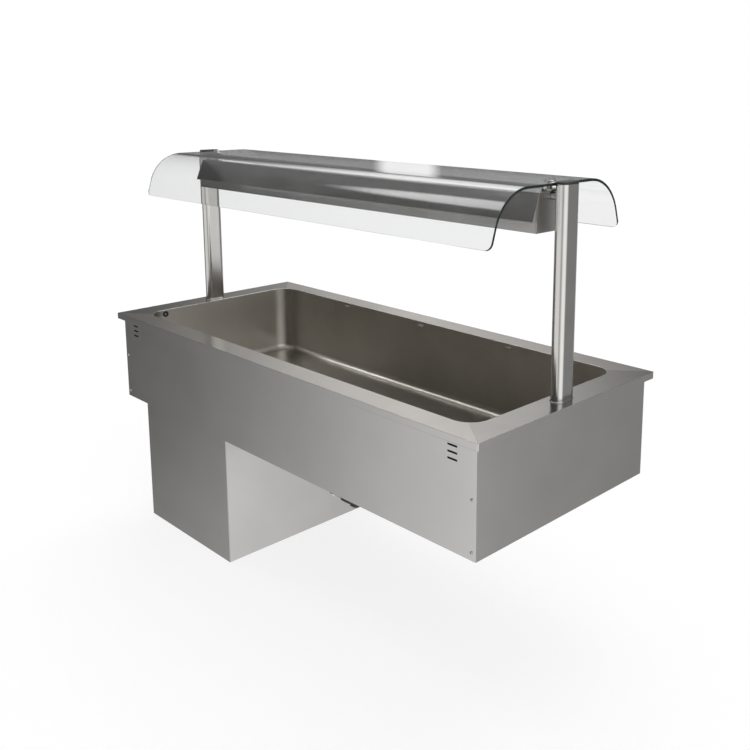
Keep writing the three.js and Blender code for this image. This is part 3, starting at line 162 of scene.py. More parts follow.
# %% Solids from rings and outlines
def ring_of(outline, height, axis="z"):
    """Places a flat outline at a height on an axis: its own u and v lie in the other two."""
    if axis == "x":
        return [(height, u, v) for u, v in outline]
    if axis == "y":
        return [(u, height, v) for u, v in outline]
    return [(u, v, height) for u, v in outline]


def loft(shape, rings, caps=True, closed=False):
    """A skin through rings of equal length, capped at its ends or closed into a loop."""
    rows = [[shape.verts.new(point) for point in ring] for ring in rings]
    pairs = list(zip(rows, rows[1:])) + ([(rows[-1], rows[0])] if closed else [])
    for low, high in pairs:
        for index in range(len(low)):
            after = (index + 1) % len(low)
            shape.faces.new((low[index], low[after], high[after], high[index]))
    if caps and not closed:
        shape.faces.new(list(reversed(rows[0])))
        shape.faces.new(rows[-1])
    return rows


def turned(shape, outline, centre=(0, 0, 0), axis="z", sides=48):
    """Turns an outline of [radius, height] points about an axis; points on the axis close it."""
    to_axis = {"x": (1, 2, 0), "y": (2, 0, 1), "z": (0, 1, 2)}[axis]
    rows = []
    for radius, height in outline:
        row = []
        for index in range(sides if radius else 1):
            angle = full * index / sides
            flat = (radius * math.cos(angle), radius * math.sin(angle), height)
            point = [0, 0, 0]
            for source, target in zip(flat, to_axis):
                point[target] = source
            row.append(shape.verts.new([p + c for p, c in zip(point, centre)]))
        rows.append(row)
    pairs = list(zip(rows, rows[1:]))
    if len(rows[0]) > 1 and len(rows[-1]) > 1:
        pairs.append((rows[-1], rows[0]))
    for low, high in pairs:
        for index in range(sides):
            after = (index + 1) % sides
            quad = [low[index % len(low)], low[after % len(low)],
                    high[after % len(high)], high[index % len(high)]]
            corners = list(dict.fromkeys(quad))
            if len(corners) > 2:
                shape.faces.new(corners)


def plate(shape, outline, holes, low, high, axis="z"):
    """A flat sheet between two heights on an axis, with holes through it."""
    edges = []
    for loop in [outline, *holes]:
        verts = [shape.verts.new(point) for point in ring_of(loop, low, axis)]
        edges += [shape.edges.new((a, b)) for a, b in zip(verts, verts[1:] + verts[:1])]
    made = bmesh.ops.triangle_fill(shape, use_beauty=True, use_dissolve=False, edges=edges)
    faces = [item for item in made["geom"] if isinstance(item, bmesh.types.BMFace)]
    raised = bmesh.ops.extrude_face_region(shape, geom=faces, use_keep_orig=True)
    lifted = [item for item in raised["geom"] if isinstance(item, bmesh.types.BMVert)]
    step = Vector(ring_of([(0, 0)], high - low, axis)[0])
    bmesh.ops.translate(shape, verts=lifted, vec=step)


def block(shape, x0, x1, y0, y1, z0, z1, radius=0, steps=2):
    """A box between two corners, with its edges rounded where a radius is given."""
    corners = [(x0, y0), (x1, y0), (x1, y1), (x0, y1)]
    rows = loft(shape, [ring_of(corners, z0), ring_of(corners, z1)])
    if radius:
        verts = [vert for row in rows for vert in row]
        edges = list(dict.fromkeys(edge for vert in verts for edge in vert.link_edges))
        bmesh.ops.bevel(shape, geom=edges, offset=radius, segments=steps, profile=0.5, affect="EDGES",
                        clamp_overlap=True)


def route(points, bend, steps=10):
    """A line in space with rounded corners: a fourth number at a corner is its own bend."""
    bends = [corner[3] if len(corner) > 3 else bend for corner in points[1:-1]]
    return rounded([point[:3] for point in points], bends, steps)


def swept(shape, places, radius, sides=16, bore=0):
    """A round tube along places, hollow where a bore is given."""
    ways = headings(places)
    side = ways[0].orthogonal().normalized()
    outer, inner = [], []
    for place, heading in zip(places, ways):
        side = (side - heading * side.dot(heading)).normalized()
        up = heading.cross(side)
        around = [side * math.cos(full * i / sides) + up * math.sin(full * i / sides) for i in range(sides)]
        outer.append([place + spoke * radius for spoke in around])
        inner.append([place + spoke * bore for spoke in around])
    if bore:
        loft(shape, outer + list(reversed(inner)), closed=True)
    else:
        loft(shape, outer)


# %% [markdown]
# ## From shapes to pieces
# Real edges are never sharp, and the light on a narrow rounding is much of what makes metal look
# like metal, so edges are bevelled in the mesh and weighted normals keep the flats flat. Each piece
# rides on its node's body and hides the node.

# %% Edges, normals and objects
merge_distance = 0.001
flat_face_weight = 80


def soften(shape, width, steps=2, angle=35):
    """Rounds every edge that turns by more than an angle."""
    bmesh.ops.recalc_face_normals(shape, faces=shape.faces)
    limit = math.radians(angle)
    sharp = [edge for edge in shape.edges if edge.is_manifold and edge.calc_face_angle(0) > limit]
    bmesh.ops.bevel(shape, geom=sharp, offset=width, segments=steps, profile=0.5, affect="EDGES",
                    clamp_overlap=True)


def in_scene(name, data):
    made = bpy.data.objects.new(name, data)
    bpy.context.scene.collection.objects.link(made)
    return made


def deleted(made):
    mesh = made.data
    bpy.data.objects.remove(made)
    bpy.data.meshes.remove(mesh)


def mesh_object(name, shape, materials):
    mesh = bpy.data.meshes.new(name)
    shape.to_mesh(mesh)
    shape.free()
    for material in materials:
        mesh.materials.append(material)
    return in_scene(name, mesh)


def as_object(name, shape, materials, smooth=40):
    """Makes a shape an object in metres, with smooth shading up to an angle in degrees."""
    bmesh.ops.remove_doubles(shape, verts=shape.verts, dist=merge_distance)
    bmesh.ops.recalc_face_normals(shape, faces=shape.faces)
    bmesh.ops.scale(shape, verts=shape.verts, vec=(mm, mm, mm))
    made = mesh_object(name, shape, materials)
    smooth_by_angle(made.data, smooth)
    return even_shading(made)


def smooth_by_angle(mesh, angle):
    mesh.polygons.foreach_set("use_smooth", [True] * len(mesh.polygons))
    mesh.set_sharp_from_angle(angle=math.radians(angle))


def applied(made):
    """Turns an object's modifiers into mesh."""
    graph = bpy.context.evaluated_depsgraph_get()
    mesh = bpy.data.meshes.new_from_object(made.evaluated_get(graph))
    made.modifiers.clear()
    old = made.data
    made.data = mesh
    bpy.data.meshes.remove(old)
    mesh.name = made.name
    return made


def even_shading(made):
    """Lets large faces set the normals along their rounded edges, so that flats shade as flat."""
    modifier = made.modifiers.new("even", "WEIGHTED_NORMAL")
    modifier.mode = "FACE_AREA"
    modifier.weight = flat_face_weight
    modifier.keep_sharp = True
    return applied(made)


def cut_away(made, cutter):
    """Takes one object's volume out of another's."""
    modifier = made.modifiers.new("cut", "BOOLEAN")
    modifier.operation = "DIFFERENCE"
    modifier.solver = "EXACT"
    modifier.object = cutter
    applied(made)
    deleted(cutter)
    return made


# %% Pieces that stand for nodes
def body_of_node(node):
    return next(name for name, nodes in frame["record"]["behaviour"]["bodies"].items() if node in nodes)


def stands_for(made, node):
    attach(made, body_of_node(node))
    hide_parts(node)
    print(f"{node}: {len(made.data.polygons)} faces")
    return made


def piece(node, shape, *materials):
    """Makes a shape the visible piece of a node."""
    return stands_for(as_object("look_" + node, shape, materials), node)


def refined(node, material, width, steps=2):
    """A copy of a node's own shape with its facets joined and its sharp edges rounded."""
    shape = bmesh.new()
    shape.from_mesh(frame["nodes"][node].data)
    bmesh.ops.scale(shape, verts=shape.verts, vec=(1 / mm, 1 / mm, 1 / mm))
    bmesh.ops.remove_doubles(shape, verts=shape.verts, dist=merge_distance)
    bmesh.ops.dissolve_limit(shape, angle_limit=math.radians(1), verts=shape.verts, edges=shape.edges)
    soften(shape, width, steps)
    return piece(node, shape, material)


# %% [markdown]
# ## Materials
# Each finish is plain from afar and busy from near: brushed steel has grain, paint a fine orange
# skin, foam cells. Image textures could show that too, but node materials stay sharp at any
# distance. Each turns noise in object coordinates into changes of roughness, colour and height.

# %% Material helpers
def feed(tree, node, inputs):
    """Sets a node's inputs: another node's socket is linked, and anything else is a value."""
    for key, value in inputs.items():
        if isinstance(value, bpy.types.NodeSocket):
            tree.links.new(value, node.inputs[key])
        else:
            node.inputs[key].default_value = value


def add(tree, kind, inputs, **settings):
    """Adds a node with its settings and its inputs."""
    node = tree.nodes.new(kind)
    for key, value in settings.items():
        setattr(node, key, value)
    feed(tree, node, inputs)
    return node


def math_node(tree, operation, *values):
    """The result of an operation on sockets and plain numbers."""
    return add(tree, "ShaderNodeMath", dict(enumerate(values)), operation=operation).outputs["Value"]


def new_material(name):
    material = bpy.data.materials.new(name)
    material.use_nodes = True
    tree = material.node_tree
    shader = next(node for node in tree.nodes if node.type == "BSDF_PRINCIPLED")
    return material, tree, shader


def noise(tree, scale, detail=3, roughness=0.6, stretch=(1, 1, 1)):
    """Noise in object coordinates: a larger number in stretch makes it finer along that axis."""
    coordinates = tree.nodes.new("ShaderNodeTexCoord").outputs["Object"]
    mapping = add(tree, "ShaderNodeMapping", {"Vector": coordinates, "Scale": stretch})
    inputs = {"Vector": mapping.outputs["Vector"], "Scale": scale, "Detail": detail, "Roughness": roughness}
    return add(tree, "ShaderNodeTexNoise", inputs).outputs["Fac"]


def ramp(tree, value, low, high, start=0.3, end=0.7):
    """Maps a value between two limits onto a range of numbers."""
    inputs = {"Value": value, "From Min": start, "From Max": end, "To Min": low, "To Max": high}
    return add(tree, "ShaderNodeMapRange", inputs).outputs["Result"]


def mixed(tree, factor, first, second):
    """A colour between two, from the first at 0 to the second at 1."""
    inputs = {"Factor": factor, "A": first, "B": second}
    return add(tree, "ShaderNodeMix", inputs, data_type="RGBA").outputs["Result"]


def two_tones(tree, pattern, dark, light):
    return mixed(tree, ramp(tree, pattern, 0, 1), (*dark, 1), (*light, 1))


def bump(tree, heights, distance):
    """A surface normal raised by one or more heights, one on the other."""
    normal = None
    for height, share in heights:
        inputs = {"Distance": distance, "Strength": share, "Height": height}
        if normal:
            inputs["Normal"] = normal
        normal = add(tree, "ShaderNodeBump", inputs).outputs["Normal"]
    return normal


edge_samples, edge_full_below = 4, 0.8


def edge_light(tree, spread):
    """1 on rounded edges and 0 on flats, from the difference between two normals."""
    bevelled = add(tree, "ShaderNodeBevel", {"Radius": spread}, samples=edge_samples).outputs["Normal"]
    flat = tree.nodes.new("ShaderNodeNewGeometry").outputs["Normal"]
    alike = add(tree, "ShaderNodeVectorMath", {0: bevelled, 1: flat}, operation="DOT_PRODUCT")
    return ramp(tree, alike.outputs["Value"], 1, 0, edge_full_below, 1.0)


# %% [markdown]
# ## Brushed steel
# A belt leaves fine scratches in one direction. Anisotropy could give their sheen, but it needs
# tangents and is lost on export, so noise is stretched along the grain, in the roughness and in the
# height. Each group of sheets has its own steel, with the grain in its own direction and a tone of
# its own. The tank's faces get lit and shaded tones of one steel: the well darker as painted shade,
# its end walls lighter as painted light, the flange's ends darker as painted shade. The housing's
# steel is darker than the rest.

# %% Steel, brushed along one axis
grain_fineness, grain_scale, cloud_scale = 60, 16, 5
smear_stretch, smear_scale = (2, 2, 5), 2.2
grain_roughness, smear_roughness = 0.06, 0.02
grain_share, grain_height = 0.35, 0.00004


def brushed_steel(name, axis, light, dark, roughness, grain, smears=1.0):
    """Steel whose colour drifts between two tones, with grain along an axis and faint smears."""
    material, tree, shader = new_material(name)
    stretch = [1 if letter == axis else grain_fineness for letter in "xyz"]
    scratches = noise(tree, grain_scale, 4, 0.75, stretch)
    cloud = noise(tree, cloud_scale)
    smear = noise(tree, smear_scale, 2, stretch=smear_stretch)
    spread = grain_roughness * grain
    drift = smear_roughness * smears
    rough = math_node(tree, "ADD", ramp(tree, scratches, roughness - spread, roughness + spread),
                      ramp(tree, smear, -drift, drift))
    feed(tree, shader, {
        "Base Color": two_tones(tree, cloud, dark, light), "Metallic": 1, "Roughness": rough,
        "Normal": bump(tree, [(scratches, grain_share * grain)], grain_height),
    })
    return material


# %% The steels: grain axis, light tone, dark tone, roughness, and how strong grain and smears are
steel_x, steel_y, steel_z, well_steel_shaded, well_across_lit, flange_along, flange_across_shaded, housing_steel = [
    brushed_steel(name, *finish) for name, finish in {
        "steel_brushed_along": ("x", (0.60, 0.59, 0.575), (0.565, 0.555, 0.54), 0.24, 0.25, 0.5),
        "steel_brushed_across": ("y", (0.59, 0.58, 0.565), (0.555, 0.545, 0.53), 0.30, 0.25, 0.5),
        "steel_brushed_upright": ("z", (0.62, 0.61, 0.59), (0.56, 0.55, 0.53), 0.20, 0.6),
        # The well's steel is darker than the flange's, as painted shade in the recess; the steel of its end
        # walls is lighter, as painted light.
        "steel_well_shaded": ("x", (0.57, 0.545, 0.505), (0.50, 0.475, 0.435), 0.31, 0.5),
        "steel_well_across_lit": ("y", (0.70, 0.67, 0.63), (0.63, 0.60, 0.56), 0.35, 0.5),
        "steel_flange_along": ("x", (0.63, 0.595, 0.56), (0.57, 0.535, 0.50), 0.23, 0.3, 0.5),
        # The flange's ends get a darker steel than its long sides, as painted shade.
        "steel_flange_across_shaded": ("y", (0.50, 0.48, 0.455), (0.44, 0.425, 0.40), 0.20, 0.3, 0.5),
        "steel_housing": ("x", (0.35, 0.345, 0.34), (0.26, 0.255, 0.25), 0.20, 0.5),
    }.items()
]
print("steels:", len(bpy.data.materials))

# %% [markdown]
# ## Plain and polished metal
# Plain sheets, fittings, copper and aluminium have no grain: they are slightly cloudy and finely
# pitted. Two sizes of one noise give both.

# %% Plain sheet, fittings, copper and aluminium
fine_per_mottle = 12
pitting_below, pitting_above = 0.07, 0.08
fine_share, broad_share, metal_height = 0.5, 0.3, 0.00003


def plain_metal(name, light, dark, roughness, mottle=40):
    """Metal without grain: a mottled colour and a finely uneven surface."""
    material, tree, shader = new_material(name)
    fine = noise(tree, mottle * fine_per_mottle, 4, 0.7)
    broad = noise(tree, mottle)
    feed(tree, shader, {
        "Base Color": two_tones(tree, broad, dark, light), "Metallic": 1,
        "Roughness": ramp(tree, fine, roughness - pitting_below, roughness + pitting_above),
        "Normal": bump(tree, [(fine, fine_share), (broad, broad_share)], metal_height),
    })
    return material


sheet_steel = plain_metal("steel_sheet", (0.52, 0.52, 0.51), (0.45, 0.45, 0.44), 0.42)
fitting_steel = plain_metal("steel_fitting", (0.62, 0.61, 0.60), (0.52, 0.51, 0.50), 0.28, 60)
polished_steel = plain_metal("steel_polished", (0.68, 0.67, 0.66), (0.60, 0.59, 0.58), 0.16, 50)
copper = plain_metal("copper_tube", (0.80, 0.40, 0.24), (0.52, 0.24, 0.13), 0.30, 30)
aluminium = plain_metal("aluminium_sheet", (0.70, 0.71, 0.72), (0.58, 0.59, 0.60), 0.36, 45)

# %% [markdown]
# ## Plastic, paint, foam and rubber
# These are dull, and the size of their grain tells them apart: fine on moulded plastic, coarser on
# sprayed paint, and open cells on the foam. The paint is rubbed paler where it turns a corner.

# %% Moulded and painted surfaces
drift_scale, wear_reach = 14, 0.0012
dull_spread, dull_share = 0.08, 0.6


def dull_finish(name, light, dark, roughness, grain, height, worn=None):
    """Moulded or painted surface: fine grain, slow colour change, and worn edges where given."""
    material, tree, shader = new_material(name)
    fine = noise(tree, grain)
    colour = two_tones(tree, noise(tree, drift_scale), dark, light)
    if worn:
        colour = mixed(tree, edge_light(tree, wear_reach), colour, (*worn, 1))
    feed(tree, shader, {
        "Base Color": colour,
        "Roughness": ramp(tree, fine, roughness - dull_spread, roughness + dull_spread),
        "Normal": bump(tree, [(fine, dull_share)], height),
    })
    return material


black_plastic = dull_finish("plastic_black", (0.030, 0.030, 0.032), (0.018, 0.018, 0.020), 0.42, 900, 0.00006)
grey_plastic = dull_finish("plastic_grey", (0.46, 0.47, 0.47), (0.40, 0.41, 0.41), 0.45, 800, 0.00006)
black_paint = dull_finish(
    "paint_black", (0.035, 0.035, 0.037), (0.018, 0.018, 0.020), 0.38, 220, 0.00012, (0.09, 0.09, 0.09)
)
# The foam's near-black colour is painted shade: it stands for the dark seen through the slots.
foam_shade_finish = dull_finish("foam_painted_shade", (0.060, 0.060, 0.062), (0.035, 0.035, 0.037), 0.92, 300, 0.0006)
rubber = dull_finish("rubber_black", (0.022, 0.022, 0.023), (0.014, 0.014, 0.015), 0.60, 700, 0.00008)

# %% [markdown]
# ## Glass and opal plastic
# The canopy is clear, but its ground edges look dark green, because there the light has come a long
# way through the glass, so the edge faces get their own finish. The lamp's diffuser is milky: it
# lets some light through and scatters the rest.

# %% Glass with a faint film, and the opal diffuser
glass_index, film_scale, film_roughness = 1.5, 9, 0.015


def glass_finish(name, colour, roughness, transmission):
    """Glass that lets a share of the light through, faintly uneven where hands have wiped it."""
    material, tree, shader = new_material(name)
    feed(tree, shader, {
        "Base Color": (*colour, 1), "Transmission Weight": transmission, "IOR": glass_index,
        "Roughness": ramp(tree, noise(tree, film_scale), roughness, roughness + film_roughness),
    })
    return material


glass = glass_finish("glass_clear", (0.905, 0.91, 0.91), 0.0, 1)
glass_edge = glass_finish("glass_edge", (0.02, 0.035, 0.03), 0.06, 0.4)
opal_fine_scale, opal_cloud_scale, opal_transmission = 500, 6, 0.3
opal_smoothest, opal_roughest, opal_height, opal_share = 0.25, 0.4, 0.00003, 0.4


def opal_finish():
    """Milky plastic with a fine matt skin."""
    material, tree, shader = new_material("plastic_opal")
    fine = noise(tree, opal_fine_scale)
    feed(tree, shader, {
        "Base Color": two_tones(tree, noise(tree, opal_cloud_scale), (0.80, 0.80, 0.77), (0.86, 0.86, 0.84)),
        "Roughness": ramp(tree, fine, opal_smoothest, opal_roughest),
        "Transmission Weight": opal_transmission, "Normal": bump(tree, [(fine, opal_share)], opal_height),
    })
    return material


opal = opal_finish()
print("materials:", len(bpy.data.materials))

# %% [markdown]
# ## The well
# The real tank is pressed and welded from sheet: a lip that turns down and back under, the flange,
# a rolled edge, upright walls, a cove and the floor with the hole for the drain. Rings of points
# follow that line inwards and are given the sheet's thickness, so all bends are truly round. Faces
# then get the steel brushed in their direction, in tones that paint light and shade: the well's walls
# and floor darker as painted shade, its end walls lighter as painted light, the flange's ends darker
# as painted shade.

# %% Tank
lip_bend, edge_roll, sharpest_corner = 1, 1.2, 0.8
finish_depth, lip_clear, level_share = 2.5, 5, 0.7
drain_hole = 31.3
divider_length, divider_reach, divider_thickness, divider_top = 17, 8, 4, 9
divider_edge = 1.2


def tank_rings():
    """Rings down the visible side of the sheet, from under the lip to the start of the floor."""
    steps = 14
    rings = []

    def outer(inset, z):
        radius = max(flange_corner - inset, sharpest_corner)
        outline = rounded_rectangle(flange_length - 2 * inset, flange_width - 2 * inset, radius, steps)
        rings.append(ring_of(outline, z))

    def inner(inset, z):
        radius = opening_corner - inset
        outline = rounded_rectangle(opening_length - 2 * inset, opening_width - 2 * inset, radius, steps)
        rings.append(ring_of(outline, z))

    outer(lip_return, 0)
    for u, v in arc((lip_bend, lip_bend), lip_bend, -quarter, -2 * quarter, 4):
        outer(u, v)
    for u, v in arc((lip_bend, flange_top - lip_bend), lip_bend, 2 * quarter, quarter, 4):
        outer(u, v)
    for u, v in arc((-edge_roll, flange_top - edge_roll), edge_roll, quarter, 0, 5):
        inner(u, v)
    for u, v in arc((cove_radius, floor_level + cove_radius), cove_radius, 2 * quarter, 3 * quarter, 9):
        inner(u, v)
    return rings


def divider_tabs(shape):
    """The tabs on the long walls that the dividers between the pans rest on."""
    wall = opening_width / 2
    for x in (-pan_pitch, 0, pan_pitch):
        for side in (-1, 1):
            near, far = sorted((side * (wall + tank_sheet / 2), side * (wall - divider_reach)))
            block(shape, x - divider_length / 2, x + divider_length / 2, near, far,
                  divider_top - divider_thickness, divider_top, divider_edge, 3)


def tank():
    shape = bmesh.new()
    rows = loft(shape, tank_rings(), caps=False)
    floor_edge = rows[-1]
    edges = [shape.edges.get((a, b)) for a, b in zip(floor_edge, floor_edge[1:] + floor_edge[:1])]
    hole = [shape.verts.new(p) for p in ring_of(circle((drain_x, drain_y), drain_hole, 64), floor_level)]
    edges += [shape.edges.new((a, b)) for a, b in zip(hole, hole[1:] + hole[:1])]
    bmesh.ops.triangle_fill(shape, use_beauty=True, use_dissolve=False, edges=edges)
    bmesh.ops.recalc_face_normals(shape, faces=shape.faces)
    if sum(face.normal.z * face.calc_area() for face in shape.faces) < 0:
        bmesh.ops.reverse_faces(shape, faces=shape.faces)
    bmesh.ops.solidify(shape, geom=shape.faces[:], thickness=tank_sheet)
    divider_tabs(shape)
    # The tank is one sheet: its faces get lit and shaded tones of steel, as painted light and painted shade.
    finishes = [well_steel_shaded, flange_along, flange_across_shaded, steel_x, steel_y, well_across_lit]
    made = piece("well_tank", shape, *finishes)
    for face in made.data.polygons:
        past_end = abs(face.center.x) - opening_length / 2 * mm
        past_side = abs(face.center.y) - opening_width / 2 * mm
        across = past_end > past_side
        # Walls and floor of the well take the darker steel, as painted shade.
        finish = well_steel_shaded
        if face.center.z > (flange_top - finish_depth) * mm and abs(face.normal.z) > level_share:
            finish = flange_across_shaded if across else flange_along
        elif max(past_end, past_side) > lip_clear * mm and face.center.z > -lip_clear * mm:
            finish = steel_y if across else steel_x
        elif abs(face.normal.x) > level_share:
            finish = well_across_lit
        face.material_index = finishes.index(finish)
    return made


tank()

# %% [markdown]
# ## The probe's grommet
# A rubber ring in the left wall keeps a probe's wire off the sheet's edge. It is round, so its
# section is turned about the wire's axis.

# %% Probe grommet in the left wall
grommet_y, grommet_z, grommet_rim_depth, grommet_edge = -195, 4, 2, 0.5
grommet_section = [
    (3, 0), (9, 0), (9, grommet_rim_depth), (6, grommet_rim_depth), (6, 4.1), (9, 4.1), (9, 6.1), (3, 6.1)
]


def grommet():
    shape = bmesh.new()
    outside = -opening_length / 2 - tank_sheet - gap - grommet_rim_depth
    turned(shape, grommet_section, (outside, grommet_y, grommet_z), "x", sides=40)
    soften(shape, grommet_edge, steps=3)
    return piece("probe_grommet", shape, rubber)


grommet()

# %% [markdown]
# ## The casing
# Thin sheets close the casing, and slots near the top of the front let it breathe. The front is one
# outline with holes, filled, given its thickness and softened at its edges: booleans would cut the
# same holes with more faces and worse ones.

# %% Front panel with its slots and screw holes
slot_length, slot_height, slot_pitch, slot_count, slot_top = 27, 4, 14.5, 3, -13
slot_x, screw_x = 640, 693
screw_levels = (-111, -222.5)
screw_hole = 2.1
edge_break = 0.35


def slot_holes():
    return [
        oblong(slot_length, slot_height, 8, (side * slot_x, slot_top - row * slot_pitch))
        for side in (-1, 1) for row in range(slot_count)
    ]


def front_panel():
    right, left, low = casing_length / 2, -casing_length / 2, casing_bottom
    outline = [
        (left, low), (bay_left, low), (bay_left, bay_bottom), (bay_right, bay_bottom),
        (bay_right, low), (right, low), (right, panel_top), (left, panel_top),
    ]
    screw_holes = [circle((side * screw_x, z), screw_hole, 16) for side in (-1, 1) for z in screw_levels]
    shape = bmesh.new()
    plate(shape, outline, slot_holes() + screw_holes, -casing_width / 2, -inner_rear, "y")
    soften(shape, edge_break)
    return piece("front_panel", shape, steel_x)


front_panel()

# %% [markdown]
# ## Screws
# A panel screw has a domed head with a cross recess and a threaded shank. Head and shank are turned
# and a cutter takes out the recess. The cutter is one plus-shaped outline, because two bars that
# overlap would confuse an exact cut.

# %% Screws with a domed head and a cross recess
screw_head, screw_head_height, screw_shank, screw_length = 3.5, 1.8, 1.7, 9
screw_crown = [(0, 0), (1.6, 0.05), (2.7, 0.35), (3.25, 0.9), (screw_head, screw_head_height)]
screw_turns, screw_pitch, screw_thread_start, screw_thread_depth, screw_tip = 8, 1, 0.6, 0.3, 0.5
recess_arm, recess_half, recess_depth = 2, 0.45, 1.1


def panel_screw(index, x, z):
    front = -casing_width / 2 - gap - screw_head_height
    thread = []
    for turn in range(screw_turns):
        start = screw_head_height + screw_thread_start + turn * screw_pitch
        thread += [(screw_shank, start), (screw_shank - screw_thread_depth, start + screw_pitch / 2)]
    end = screw_head_height + screw_length
    shape = bmesh.new()
    turned(shape, [*screw_crown, (screw_shank, screw_head_height), *thread, (screw_tip, end), (0, end)],
           (x, front, z), "y", sides=28)
    made = as_object(f"look_front_panel_screw_{index}", shape, [fitting_steel])
    corner = [(recess_arm, recess_half), (recess_half, recess_half), (recess_half, recess_arm)]
    plus = []
    for turn in range(4):
        plus += [(x + across, z + up) for across, up in corner]
        corner = [(-up, across) for across, up in corner]
    cross = bmesh.new()
    plate(cross, plus, [], front - recess_depth, front + recess_depth, "y")
    return stands_for(cut_away(made, as_object("cross", cross, [])), f"front_panel_screw_{index}")


places = [(side * screw_x, z) for side in (-1, 1) for z in screw_levels]
for index, (x, z) in enumerate(places):
    panel_screw(index + 1, x, z)


# %% [markdown]
# ## The other panels
# These sheets have the right shape in the model, so each piece starts as a copy of its node: its
# facets are joined, its edges are broken and it gets its steel.

# %% Rear, ends, bottom and bay panels, with their edges broken
folded_edge_break = 0.25
panel_finishes = {
    "rear_panel": steel_x, "right_end_panel": steel_y, "left_end_panel": steel_y,
    "bay_left_panel": steel_y, "bay_right_panel": steel_y,
    "bottom_panel": sheet_steel, "bay_base_tray": sheet_steel,
}
for node, finish in panel_finishes.items():
    refined(node, finish, edge_break)
for node in ("control_panel", "bay_rear_grille"):
    refined(node, steel_x, folded_edge_break)


# %% [markdown]
# ## The foam jacket
# Foam between tank and casing keeps the cold in. It starts from its node too, and is hollowed
# behind the slots, so that one looks into a dark room and not onto a flat face. Its near-black
# colour is painted shade, standing for the dark seen through the slots.

# %% Foam jacket, hollowed behind the slots
foam_edge, foam_room_reach, foam_room_rise, foam_room_depth = 0.8, 22, 8, 26


def foam_jacket():
    made = refined("insulation_jacket", foam_shade_finish, foam_edge)
    front = -casing_width / 2
    low = slot_top - slot_pitch * (slot_count - 1) - foam_room_rise
    room = bmesh.new()
    for side in (-1, 1):
        block(room, side * slot_x - foam_room_reach, side * slot_x + foam_room_reach,
              front, front + foam_room_depth, low, slot_top + foam_room_rise)
    return cut_away(made, as_object("room", room, []))


foam_jacket()

# %% [markdown]
# ## Posts
# Two oblong tubes carry the glass and the lamp. Each has a weld bead round its foot, a threaded
# stud with a washer and a nut under the flange, and a plastic cap pressed into its top. Oblong rings
# at rising heights make tube and bead in one skin, so no seam shows between them.

# %% Posts: oblong tube with a weld bead at the foot
# Each pair of the bead is how far it stands out and how high that is above the foot.
weld_bead = [(1.6, 0), (1.5, 0.5), (0.9, 1.1), (0.3, 1.6)]
weld_rise, tube_rim, tube_floor = 2.2, 0.4, 6
stud_radius, stud_core, stud_end, stud_root = 5, 4.2, -25, 3
stud_thread_start, stud_pitch, stud_turns, stud_thread_depth = -24, 1.7, 24, 0.35


def post_ring(side, grow, z):
    """The post's oblong outline at a height, grown on all sides."""
    outline = oblong(post_depth + 2 * grow, post_width + 2 * grow, 20)
    return [(side * post_x - v, u, z) for u, v in outline]


def post(name, side):
    rings = [post_ring(side, grow, post_foot + rise) for grow, rise in weld_bead]
    walls = [
        (0, post_foot + weld_rise), (0, post_top - tube_rim), (-tube_rim, post_top),
        (-post_wall + tube_rim, post_top), (-post_wall, post_top - tube_rim),
        (-post_wall, post_foot + tube_floor),
    ]
    shape = bmesh.new()
    loft(shape, rings + [post_ring(side, grow, z) for grow, z in walls])
    thread = []
    for turn in range(stud_turns):
        start = stud_thread_start + turn * stud_pitch
        thread += [(stud_radius, start), (stud_radius - stud_thread_depth, start + stud_pitch / 2)]
    root = post_foot + stud_root
    turned(shape, [(0, stud_end), (stud_core, stud_end), *thread, (stud_radius, root), (0, root)],
           (side * post_x, 0, 0), "z", sides=28)
    return piece(name + "_post", shape, steel_z)


# %% The caps on the posts and the nuts under the flange
cap_plug_depth, cap_plug_edge, cap_edge, cap_edge_rise, cap_side, cap_round = 10, 0.1, 0.2, 0.3, 2.6, 2.4
nut_radius, nut_bore, nut_height, nut_edge = 9.5, 5.3, 10, 0.5
washer_section = [(nut_bore, -2.5), (13.2, -2.5), (14, -1.9), (14, 0), (nut_bore, 0)]


def post_cap(name, side):
    base = post_top + gap
    plug = post_wall + gap
    levels = [
        (plug, -cap_plug_depth), (plug, -cap_plug_edge), (cap_edge, 0), (0, cap_edge_rise), (0, cap_side),
        *arc((cap_round, cap_side), cap_round, 2 * quarter, quarter, 6),
    ]
    shape = bmesh.new()
    loft(shape, [post_ring(side, -inset, base + z) for inset, z in levels])
    return piece(name + "_post_cap", shape, black_plastic)


def post_nut(name, side):
    top = flange_top - tank_sheet - gap
    washer_low = top + washer_section[0][1]
    centre = (side * post_x, 0)
    shape = bmesh.new()
    turned(shape, washer_section, (*centre, top), "z", sides=40)
    hexagon, hole = circle(centre, nut_radius, 6), circle(centre, nut_bore)
    plate(shape, hexagon, [hole], washer_low - nut_height, washer_low)
    soften(shape, nut_edge, angle=25)
    return piece(name + "_post_nut", shape, fitting_steel)


for name, side in (("left", -1), ("right", 1)):
    post(name, side)
    post_cap(name, side)
    post_nut(name, side)


# %% [markdown]
# ## The glass canopy
# One sheet of glass is flat on top and bends down at front and rear, with rounded lower corners and
# polished edges. Extruding its section would leave the corners square, so rings across the sheet,
# shorter toward its ends, are lofted from edge to edge. The faces at the edges get the dark finish.

# %% Glass canopy
bend_steps, corner_steps, flat_stop_share, skirt_shares = 36, 10, 0.6, (0.35, 0.7, 1)
arris_angle, glass_smooth_angle, end_face_share, rim_face_share = 55, 30, 0.3, 0.7


